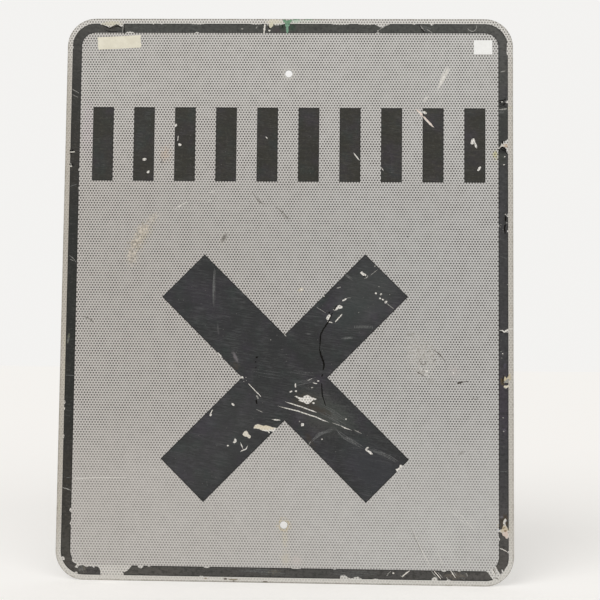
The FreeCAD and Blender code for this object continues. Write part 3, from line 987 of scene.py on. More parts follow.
@dataclass(frozen=True)
class MattFinish:
    """A matt finish of one colour with veils over it.

    Attributes:
        tint: The colour.
        veils: The veils, the lowest first.
        roughness: The roughness.
        raised: The pattern that the relief follows.
        relief: How high the relief is.
        shine: How strongly it reflects.
    """

    tint: Rgb
    veils: tuple[Veil, ...]
    roughness: Tone
    raised: Pattern
    relief: float
    shine: float = 0.5

    def material(self, name: str) -> bpy.types.Material:
        """Make the material.

        Args:
            name: The material's name.

        Returns:
            The material.
        """
        surface = Surface(name)
        colour = surface.veiled(linear(self.tint), *self.veils)
        surface.set_evenly(Specular_IOR_Level=self.shine)
        return surface.finished(colour, surface.toned(self.roughness), surface.mask(self.raised), self.relief)


CREPE = Lines(6, 0.35, 93, 0.3, 0.7)
TAPE_FIBRE = Clouds(1.6)
MASKING_TAPE = MattFinish(
    (240, 235, 217),
    (
        Veil(CREPE, 0.25, (206, 198, 174)), Veil(TAPE_FIBRE, 0.15, (240, 237, 226)),
        Veil(Clouds(14), 0.18, (178, 168, 142)),
    ),
    Tone(TAPE_FIBRE, 0.72, 0.85), CREPE, 0.04,
)

PAPER_FIBRE = Clouds(1.2)
BARE_PAPER = MattFinish(
    (251, 251, 249), (Veil(PAPER_FIBRE, 0.12, (228, 228, 224)), Veil(Clouds(9), 0.14, (216, 214, 208))),
    Tone(PAPER_FIBRE, 0.6, 0.75), PAPER_FIBRE, 0.01,
)


@dataclass(frozen=True)
class MarkFinish:
    """Colour of one kind of mark, such as scraped film, dirt in a crack or dried paint.

    Attributes:
        tint: The mark's colour.
        patchy: The colour that it breaks up into.
        slot: The record's finish that the mark belongs to. Not used.
        shine: How strongly it reflects.
    """

    BROKEN: ClassVar[Clouds] = Clouds(2.2, 0.4, 0.6)
    ROUGHNESS: ClassVar[Tone] = Tone(BROKEN, 0.55, 0.75)
    RELIEF: ClassVar[float] = 0.01

    tint: Rgb
    patchy: Rgb
    slot: str
    shine: float = 0.3

    def material(self, name: str) -> bpy.types.Material:
        """Make the material under a name."""
        veils = (Veil(self.BROKEN, 1, self.patchy),)
        return MattFinish(self.tint, veils, self.ROUGHNESS, self.BROKEN, self.RELIEF, self.shine).material(name)


class Layer(Enum):
    """The layer of the sign that a mark lies on, by a node whose front is that layer's front."""

    SHEETING = "reflective_sheeting"
    FILM = "cross_film"

    def front(self) -> float:
        """Place of the layer's front face, in metres."""
        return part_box(self.value)[0].y


@dataclass(frozen=True)
class Stroke:
    """A scratch, crack or run of paint: the line that it follows and its greatest width."""

    line: tuple[Point, ...]
    width: float


@dataclass(frozen=True)
class Brush:
    """A band of fine hairs rubbed along one line: the line, the band's width, and its hairs' count and width."""

    line: tuple[Point, ...]
    width: float
    hairs: int
    hair: float = 0.7


@dataclass(frozen=True)
class Spot:
    """A small ragged patch: its middle, length, width and turn in degrees."""

    place: Point
    length: float
    width: float
    turn: float = 0.0


@dataclass
class MarkSet:
    """Marks of one kind on one layer, made as one thin mesh.

    Attributes:
        name: The piece's name.
        layer: The layer that they lie on.
        finish: Their finish.
        strokes: Marks that follow a line.
        spots: Small patches.
        brushes: Bands of fine hairs.
        seed: Start of the wander of their edges.
    """

    RISE: ClassVar[float] = 0.02
    RUNG: ClassVar[float] = 0.0015
    RUNGS: ClassVar[int] = 6
    STEP: ClassVar[float] = 1.0
    TAPER_START: ClassVar[float] = 0.06
    TAPER_RUN: ClassVar[float] = 0.88
    STROKE_WANDER: ClassVar[Span] = (0.5, 1.15)
    SPOT_WANDER: ClassVar[Span] = (0.6, 1.1)
    HAIR_START: ClassVar[Span] = (0.0, 0.5)
    HAIR_END: ClassVar[Span] = (0.55, 1.0)
    HAIR_PLACE: ClassVar[Span] = (0.1, 0.9)
    HAIR_WIDTH: ClassVar[Span] = (0.6, 1.3)
    FEWEST_CORNERS: ClassVar[int] = 9

    name: str
    layer: Layer
    finish: MarkFinish
    strokes: tuple[Stroke, ...] = ()
    spots: tuple[Spot, ...] = ()
    brushes: tuple[Brush, ...] = ()
    seed: int = 1
    _points: list[tuple[float, float, float]] = field(default_factory=list, repr=False)
    _faces: list[tuple[int, ...]] = field(default_factory=list, repr=False)
    _made: int = 0

    def front(self) -> float:
        """Place of the next mark's face, in metres: marks that overlap lie at slightly different heights."""
        self._made += 1
        return self.layer.front() - (self.RISE + self.RUNG * (self._made % self.RUNGS)) * MM

    def sampled(self, line: Sequence[Point]) -> list[Vector]:
        """Points along a smooth line, a Catmull-Rom spline, through given points.

        Args:
            line: The points that the line goes through.

        Returns:
            Points about one step apart.
        """
        knots = [Vector(point) for point in (line[0], *line, line[-1])]
        points = []
        for before, here, after, beyond in zip(knots, knots[1:], knots[2:], knots[3:]):
            count = max(1, round((after - here).length / self.STEP))
            for index in range(count):
                t = index / count
                bend = 2 * here + (after - before) * t
                bend += (2 * before - 5 * here + 4 * after - beyond) * t * t
                bend += (3 * here - before - 3 * after + beyond) * t * t * t
                points.append(bend / 2)
        points.append(knots[-1])
        return points

    def add_stroke(self, stroke: Stroke, wander: random.Random) -> None:
        """Add a stroke as a strip whose width wanders and narrows to its ends.

        Args:
            stroke: The stroke.
            wander: The wander of its edges.
        """
        points = self.sampled(stroke.line)
        last = len(points) - 1
        left, right = [], []
        for index, point in enumerate(points):
            fullness = math.sqrt(math.sin(math.pi * (self.TAPER_START + self.TAPER_RUN * (index / last))))
            run = points[min(index + 1, last)] - points[max(index - 1, 0)]
            side = Vector((-run.y, run.x)).normalized() * stroke.width / 2 * fullness
            left.append(point + side * wander.uniform(*self.STROKE_WANDER))
            right.append(point - side * wander.uniform(*self.STROKE_WANDER))
        first = len(self._points)
        front = self.front()
        self._points += [(point.x * MM, front, point.y * MM) for point in left + right]
        count = len(points)
        for a in range(first, first + last):
            self._faces.append((a, a + count, a + count + 1, a + 1))
        self.add_skirt([*range(first + count, first + 2 * count), *reversed(range(first, first + count))])

    def add_brush(self, brush: Brush, wander: random.Random) -> None:
        """Add a band of hairs, each a thin stroke along a part of the line.

        Args:
            brush: The band.
            wander: The wander of the hairs.
        """
        path = self.sampled(brush.line)
        for number in range(brush.hairs):
            first = round(wander.uniform(*self.HAIR_START) * (len(path) - 3))
            last = max(first + 3, round(wander.uniform(*self.HAIR_END) * len(path)))
            part = path[first:last]
            side = (number + wander.uniform(*self.HAIR_PLACE)) / brush.hairs - 0.5
            run = (part[-1] - part[0]).normalized()
            shift = Vector((-run.y, run.x)) * side * brush.width
            line = tuple(tuple(knot + shift) for knot in (part[0], part[len(part) // 2], part[-1]))
            self.add_stroke(Stroke(line, brush.hair * wander.uniform(*self.HAIR_WIDTH)), wander)

    def add_spot(self, spot: Spot, wander: random.Random) -> None:
        """Add a patch as a fan about its middle, with a wandering edge.

        Args:
            spot: The patch.
            wander: The wander of its edge.
        """
        count = max(self.FEWEST_CORNERS, round(2 * (spot.length + spot.width)))
        front = self.front()
        middle = Vector(spot.place)
        first = len(self._points)
        self._points.append((middle.x * MM, front, middle.y * MM))
        turn = Matrix.Rotation(math.radians(spot.turn), 2)
        for index in range(count):
            angle = 2 * math.pi * index / count
            reach = wander.uniform(*self.SPOT_WANDER) / 2
            point = middle + turn @ Vector((spot.length * math.cos(angle), spot.width * math.sin(angle))) * reach
            self._points.append((point.x * MM, front, point.y * MM))
        ring = list(range(first + 1, first + 1 + count))
        self._faces += [(first, here, after) for here, after in zip(ring, ring[1:] + ring[:1])]
        self.add_skirt(ring)

    def add_skirt(self, ring: list[int]) -> None:
        """Add the thin edge that takes the mark down to its layer.

        Args:
            ring: The points round the mark, anticlockwise as the face is seen.
        """
        base = self.layer.front()
        first = len(self._points)
        self._points += [(self._points[index][0], base, self._points[index][2]) for index in ring]
        count = len(ring)
        for index in range(count):
            after = (index + 1) % count
            self._faces.append((ring[index], first + index, first + after, ring[after]))

    def build(self) -> None:
        """Build the mesh, give it its finish and let it ride on the sign."""
        wander = random.Random(self.seed)
        kinds = ((self.add_stroke, self.strokes), (self.add_spot, self.spots), (self.add_brush, self.brushes))
        for add, marks in kinds:
            for mark in marks:
                add(mark, wander)
        mesh = bpy.data.meshes.new(self.name)
        mesh.from_pydata(self._points, [], self._faces)
        mesh.validate()
        mesh.materials.append(self.finish.material(self.name))
        piece = bpy.data.objects.new(self.name, mesh)
        bpy.context.scene.collection.objects.link(piece)
        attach(piece, ROOT)


def dress(node: bpy.types.Object, material: bpy.types.Material) -> None:
    """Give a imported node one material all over.

    Args:
        node: The node's object.
        material: The material.
    """
    if not node.material_slots:
        node.data.materials.append(material)
    for slot in node.material_slots:
        slot.material = material


SHEETING_STAINS = (
    Stain((-83.9, 77.2), (17, 8), 62, (214, 208, 200), 0.5, 0.4, 0.8),
    Stain((-196, 76), (34, 12), 58, (194, 182, 158), 0.6, 0.9, 0.8),
    Stain((-164.7, 189.6), (10, 14), 0, (204, 182, 160), 0.6, 0.8, 0.9),
    Stain((-190, 173), (10, 9), 0, (206, 192, 172), 0.5, 0.7, 0.9),
    Stain((180, -78), (36, 44), 10, (214, 212, 206), 0.45, 0.6, 0.9),
    Stain((205, -318), (52, 22), -56, (212, 211, 208), 0.4, 0.6, 0.9),
    Stain((231.4, -203.3), (7, 3), 30, (150, 147, 142), 0.6, 0.5, 0.8),
    Stain((2, -318), (6, 18), 0, (210, 202, 182), 0.55, 0.5, 0.9),
    Stain((276.3, 190.9), (5, 8.5), 0, (204, 198, 148), 0.85, 0.5, 0.8),
    Stain((-297, 0), (6, 420), 0, (160, 152, 140), 0.7, 0.1, 0.4),
    Stain((-270, 225), (13, 50), 0, (204, 190, 196), 0.45, 0.4, 0.9),
    Stain((-294.3, -85), (2.6, 60), 0, (196, 192, 152), 0.5, 0.4, 0.8),
    Stain((-294.5, -63), (2.2, 10), 0, (198, 190, 142), 0.6, 0.4, 0.8),
    Stain((20, 372), (34, 4), 0, (176, 196, 174), 0.75, 0.4, 0.8),
    Stain((295, 254.6), (6, 3), 10, (206, 200, 172), 0.8, 0.5, 0.8),
    Stain((-296, -278), (1.8, 17), 0, (190, 190, 150), 0.7, 0.4, 0.8),
    Stain((297.4, -14.5), (3.5, 7), 0, (170, 150, 124), 0.5, 1, 0.9),
)

SHEETING_RESIDUE_AND_SHADE = (
    Stain((-83.9, 77.2), (10, 4.6), 60, (100, 96, 90), 0.85, 0.3, 0.85),
    Stain((-20, 371), (14, 4.4), 0, (222, 215, 192), 0.62, 0.4, 0.6),
    Stain((-24, 365), (5, 6), 0, (212, 206, 180), 0.85, 0.4, 0.5),
    Stain((-241, 368), (17, 5), 0, (208, 202, 180), 0.7, 0.5, 0.7),
    # Dark lines under the lower edge of the masking tape: dirt and painted shadow.
    Stain((-250, 340.9), (10, 1), 0, (112, 102, 90), 0.55, 0.3, 0.6),
    Stain((-211, 341.8), (8, 1), 2, (112, 102, 90), 0.55, 0.3, 0.6),
    Stain((10, 371.6), (8, 3.6), 0, (186, 204, 188), 0.7, 0.5, 0.7),
    Stain((-37, 128), (9, 2.2), -52, (120, 116, 110), 0.5, 0.8, 0.9),
    Stain((3, -343), (9, 14), 0, (196, 189, 174), 0.6, 0.5, 0.9),
    Stain((18, -345), (11, 10), 0, (198, 189, 184), 0.55, 0.5, 0.9),
    # Painted shade: a dark line along the bottom edge of the sign, where the edge meets the floor.
    Stain((0, -374.7), (290, 1.5), 0, (132, 127, 116), 0.7, 0.1, 0.5),
    Stain((165, -49.1), (9, 2.8), 6, (142, 139, 132), 0.6, 0.5, 0.85),
    Stain((184.2, -75.7), (14, 18), -30, (174, 171, 165), 0.5, 1.2, 0.9),
    Stain((190.8, -109.7), (7, 4), 10, (166, 163, 158), 0.6, 0.8, 0.9),
    Stain((222, -97), (12, 9), -20, (190, 182, 178), 0.4, 0.9, 0.9),
    Stain((-2.1, 106.2), (7, 3), -40, (120, 116, 110), 0.4, 0.4, 0.8),
    Stain((0, 300), (11, 11), 0, (206, 203, 196), 0.5, 0.3, 0.5),
    Stain((0, -300), (11, 11), 0, (206, 188, 142), 0.6, 0.5, 0.8),
    Stain((-27, -172), (18, 6), 0, (216, 204, 178), 0.75, 0.3, 0.5),
    Stain((-50, -183), (8, 8), 0, (214, 206, 188), 0.6, 0.3, 0.4),
    Stain((290, -105), (9, 6), 30, (196, 184, 152), 0.85, 0.4, 0.5),
    Stain((289, -115), (6, 4), 0, (222, 212, 190), 0.8, 0.4, 0.6),
    Stain((287, -300.5), (9, 7), -30, (200, 186, 160), 0.9, 0.5, 0.5),
    Stain((289, -308), (6, 6), 0, (212, 194, 182), 0.9, 0.5, 0.5),
    Stain((288.6, -303), (2, 1.6), 0, (128, 108, 82), 0.9, 0.4, 0.5),
    Stain((286.6, -299.4), (2.4, 1.4), 30, (140, 120, 92), 0.8, 0.4, 0.5),
    Stain((280.7, -301.7), (3.2, 2), 10, (198, 200, 204), 0.8, 0.4, 0.6),
    Stain((290.3, 203.1), (2.8, 3.2), 20, (164, 134, 104), 0.85, 0.6, 0.5),
    Stain((19, 8.6), (5, 2.6), 30, (206, 192, 156), 0.55, 0.5, 0.6),
    Stain((287, 203), (7, 4), 10, (222, 208, 190), 0.5, 0.8, 0.6),
    Stain((-75.4, -370.8), (3, 1.4), 0, (62, 50, 34), 0.9, 0.4, 0.5),
    Stain((-65, -371.4), (9, 1.2), 0, (112, 100, 70), 0.85, 0.4, 0.6),
    Stain((-64.6, -373.1), (1.6, 1.2), 0, (70, 60, 44), 0.85, 0.4, 0.6),
    Stain((-101.3, -370.3), (2.4, 1.2), 0, (128, 112, 84), 0.8, 0.4, 0.6),
    Stain((-24, -373.4), (5.5, 1.1), 0, (84, 72, 52), 0.85, 0.4, 0.6),
)

SCOURED_PLACES = (
    Stain((-206.5, 52), (8.5, 14), -4, (224, 214, 200), 0.62, 0.8, 0.6),
    Stain((-202, 70), (9, 12), -18, (224, 214, 200), 0.66, 0.8, 0.6),
    Stain((-193, 88), (8.5, 13), -38, (224, 214, 200), 0.66, 0.8, 0.6),
    Stain((-179, 103.5), (11, 6.5), 38, (220, 212, 200), 0.55, 0.8, 0.7),
    Stain((176, -72), (22, 26), 20, (216, 212, 208), 0.32, 1.2, 0.8),
    Stain((181, -99), (13, 6), -20, (226, 223, 218), 0.4, 0.8, 0.8),
)

BORDER_STAINS_AND_SHADE = (
    Stain((-287, 0), (16, 420), 0, (17, 18, 13), 0.84, 0.1, 0.3),
    Stain((287, -60), (16, 300), 0, (53, 52, 55), 0.7, 0.1, 0.3),
    Stain((0, 362), (330, 12), 0, (73, 74, 69), 0.65, 0.1, 0.3),
    Stain((10, -362), (300, 12), 0, (78, 76, 73), 0.72, 0.1, 0.3),
    Stain((-287, 375), (80, 180), 0, (92, 88, 82), 0.26, 0.1, 1),
    Stain((287, 375), (80, 160), 0, (112, 110, 106), 0.36, 0.1, 1),
    Stain((-287, -375), (80, 190), 0, (98, 92, 84), 0.38, 0.1, 1),
    Stain((287, -375), (80, 180), 0, (112, 106, 102), 0.38, 0.1, 1),
    Stain((-175, -362), (70, 14), 0, (100, 96, 88), 0.3, 0.2, 0.8),
    Stain((-287, 185), (16, 90), 0, (64, 54, 44), 0.22, 0.2, 0.8),
    Stain((-287, -20), (16, 170), 0, (26, 30, 24), 0.35, 0.2, 0.8),
    Stain((-287, -235), (16, 90), 0, (70, 60, 52), 0.22, 0.2, 0.8),
    Stain((287, 222), (16, 34), 0, (38, 40, 34), 0.5, 0.2, 0.8),
    Stain((287, -140), (16, 75), 0, (58, 46, 62), 0.45, 0.2, 0.8),
    # Dark curled film with painted shadow at the bites at the top left.
    Stain((-243, 362.5), (15, 5.5), 0, (46, 40, 33), 0.75, 0.8, 0.7),
    Stain((-9.5, 364), (5.5, 10), 0, (30, 58, 40), 0.85, 0.5, 0.8),
    Stain((4.2, 364), (7, 9), 0, (32, 62, 44), 0.8, 0.5, 0.8),
    Stain((-16, 360), (9, 7), 0, (66, 54, 58), 0.5, 0.5, 0.8),
    Stain((286.4, 196), (7, 6), 0, (10, 9, 5), 0.95, 0.3, 0.6),
    Stain((285, 186), (8, 12), 0, (56, 60, 50), 0.6, 0.3, 0.8),
    Stain((289.4, 104), (4, 12), 0, (34, 33, 31), 0.6, 0.6, 0.8),
    Stain((286, 260), (8, 7), 0, (32, 31, 28), 0.7, 0.9, 0.8),
    Stain((224, -361.5), (18, 6), 0, (110, 102, 92), 0.7, 0.8, 0.8),
    Stain((-289.6, -59), (1.9, 9), -9, (128, 130, 112), 0.8, 0.6, 0.9),
    # Painted shadow on the film beside a curled flake of sheeting at the right.
    Stain((285.8, -109), (5, 7), 0, (84, 68, 38), 0.85, 0.8, 0.8),
    Stain((286.6, -291.5), (7, 12), 0, (66, 54, 38), 0.9, 0.5, 0.6),
    Stain((284.1, -285.4), (3.4, 3), 0, (112, 109, 114), 0.8, 0.5, 0.8),
    Stain((288.3, -88.9), (2.6, 4.5), 0, (78, 74, 88), 0.7, 0.5, 0.8),
    Stain((287.5, -173.9), (3, 4.5), 0, (86, 78, 92), 0.7, 0.5, 0.8),
    Stain((-263.1, -361), (6, 7), 0, (118, 112, 102), 0.6, 0.8, 0.8),
    Stain((-12, -360.5), (9, 4), 0, (112, 104, 84), 0.5, 1, 0.8),
    Stain((284, 248.6), (5, 2.6), 0, (92, 94, 92), 0.6, 0.6, 0.8),
)

CROSS_STAINS = (
    Stain((118, -228), (66, 34), -45, (48, 49, 54), 0.75, 0.1, 0.6),
    Stain((-95, -200), (120, 50), 45, (80, 80, 80), 0.17, 0.1, 0.5),
    Stain((108, 4), (70, 45), 45, (84, 88, 86), 0.22, 0.1, 0.6),
    Stain((35, -72), (44, 34), 45, (26, 27, 26), 0.35, 0.2, 0.7),
    Stain((46, -152), (52, 38), -40, (106, 105, 98), 0.2, 0.4, 0.8),
    Stain((-66, -93), (7, 9), 40, (70, 60, 50), 0.5, 1, 0.9),
    Stain((-112, 4), (52, 34), -45, (56, 50, 60), 0.3, 0.3, 0.8),
    Stain((-108, -172), (30, 20), 45, (56, 48, 62), 0.35, 0.5, 0.8),
    Stain((66, -156), (44, 20), -32, (64, 70, 65), 0.6, 0.5, 0.8),
    Stain((80, -22), (44, 26), 45, (46, 52, 52), 0.55, 0.3, 0.8),
    Stain((26, -138), (20, 14), 0, (60, 53, 40), 0.6, 0.7, 0.7),
    Stain((46, -150), (30, 6), -22, (56, 46, 36), 0.6, 0.7, 0.8),
    Stain((33, -188), (15, 6), -58, (50, 43, 33), 0.6, 0.6, 0.8),
    Stain((-31, -164), (9, 5), 10, (30, 28, 34), 0.7, 0.6, 0.8),
    Stain((-95.8, 11), (28, 2.4), 91, (98, 98, 97), 0.65, 0.4, 0.95),
    Stain((-100, 20), (40, 30), -45, (26, 26, 26), 0.36, 0.2, 0.8),
    Stain((-90, -45), (12, 1.9), 96, (92, 92, 92), 0.5, 0.4, 0.95),
    Stain((-66.7, -81.2), (11, 3.2), -63, (124, 119, 122), 0.7, 0.4, 0.8),
    Stain((82.5, 26.5), (7, 1.8), -34, (94, 97, 93), 0.6, 0.5, 0.9),
    Stain((80, -54.8), (8, 1.8), 5, (98, 100, 99), 0.7, 0.5, 0.9),
    Stain((29.4, -49.4), (5, 1.6), -8, (88, 89, 89), 0.6, 0.5, 0.9),
    Stain((102, -39.6), (13, 3), 1, (82, 83, 82), 0.6, 0.3, 0.7),
    Stain((48, -181), (18, 2.6), 32, (84, 85, 84), 0.5, 0.6, 0.95),
    Stain((84, -187), (18, 3.4), -28, (84, 84, 86), 0.5, 0.6, 0.95),
    Stain((124, -205), (14, 3), -26, (78, 79, 80), 0.5, 0.6, 0.95),
)


@dataclass
class FacedBlank:
    """The aluminium blank and the reflective sheeting on its face."""

    aluminium: AluminiumFinish = AluminiumFinish()
    sheeting: SheetingFinish = SheetingFinish(SHEETING_STAINS, SHEETING_RESIDUE_AND_SHADE, SCOURED_PLACES)

    def build(self, nodes: Nodes) -> None:
        """Dress the blank and the sheeting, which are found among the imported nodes."""
        dress(nodes["sign_blank"], self.aluminium.material())
        dress(nodes["reflective_sheeting"], self.sheeting.material())


@dataclass
class BorderFilms:
    """The four lengths of black border."""

    lengths: tuple[str, ...] = ("border_film_main", "border_film_right", "border_film_foot", "border_film_bottom")
    finish: FilmFinish = FilmFinish(
        "border_film", FilmShape.BORDER, (48, 49, 46), (92, 93, 88), 0.3, 0.9, BORDER_STAINS_AND_SHADE,
    )

    def build(self, nodes: Nodes) -> None:
        """Dress the lengths of border.

        Args:
            nodes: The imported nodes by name.
        """
        material = self.finish.material()
        for name in self.lengths:
            dress(nodes[name], material)


@dataclass
class CrossFilm:
    """The black cross."""

    finish: FilmFinish = FilmFinish(
        "cross_film", FilmShape.CROSS, (35, 36, 37), (97, 99, 100), 0.34, 0.25, CROSS_STAINS,
    )

    def build(self, nodes: Nodes) -> None:
        """Dress the cross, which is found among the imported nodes."""
        dress(nodes["cross_film"], self.finish.material())


@dataclass
class StripeRow:
    """The row of upright black stripes."""

    prefix: str = "crossing_stripe_"
    finish: FilmFinish = FilmFinish("stripe_film", FilmShape.STRIPES, (36, 34, 26), (80, 77, 66), 0.3, 0.6)

    def build(self, nodes: Nodes) -> None:
        """Dress every stripe of the row.

        Args:
            nodes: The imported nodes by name.
        """
        material = self.finish.material()
        for name, node in nodes.items():
            if name.startswith(self.prefix):
                dress(node, material)


@dataclass
class Stickers:
    """The strip of masking tape and the paper sticker, both bare."""

    tape: MattFinish = MASKING_TAPE
    paper: MattFinish = BARE_PAPER

    def build(self, nodes: Nodes) -> None:
        """Dress the two stickers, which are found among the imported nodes."""
        dress(nodes["masking_tape"], self.tape.material("masking_tape"))
        dress(nodes["paper_label"], self.paper.material("paper_label"))


BARE_CUT = MarkFinish((234, 231, 224), (208, 203, 194), "black_film")
PALE_SCRAPE = MarkFinish((172, 170, 164), (134, 133, 129), "black_film")
GREY_SCUFF = MarkFinish((106, 107, 106), (84, 85, 85), "black_film")
CRACK_DIRT_AND_SHADOW = MarkFinish((14, 13, 11), (26, 24, 22), "black_film", 0.04)
GREEN_PAINT = MarkFinish((130, 166, 142), (112, 150, 126), "black_film")
PALE_GREEN = MarkFinish((98, 138, 108), (126, 160, 133), "white_sheeting")
WHITE_SCRAPE = MarkFinish((232, 229, 223), (214, 210, 203), "white_sheeting")
DARK_NICK = MarkFinish((100, 96, 90), (130, 126, 120), "white_sheeting")
BLACK_NICK = MarkFinish((62, 58, 54), (84, 80, 75), "white_sheeting")
ROSE_SCRAPE = MarkFinish((236, 222, 212), (218, 203, 193), "white_sheeting")
PIT_DIRT = MarkFinish((14, 13, 11), (26, 24, 22), "white_sheeting", 0.04)

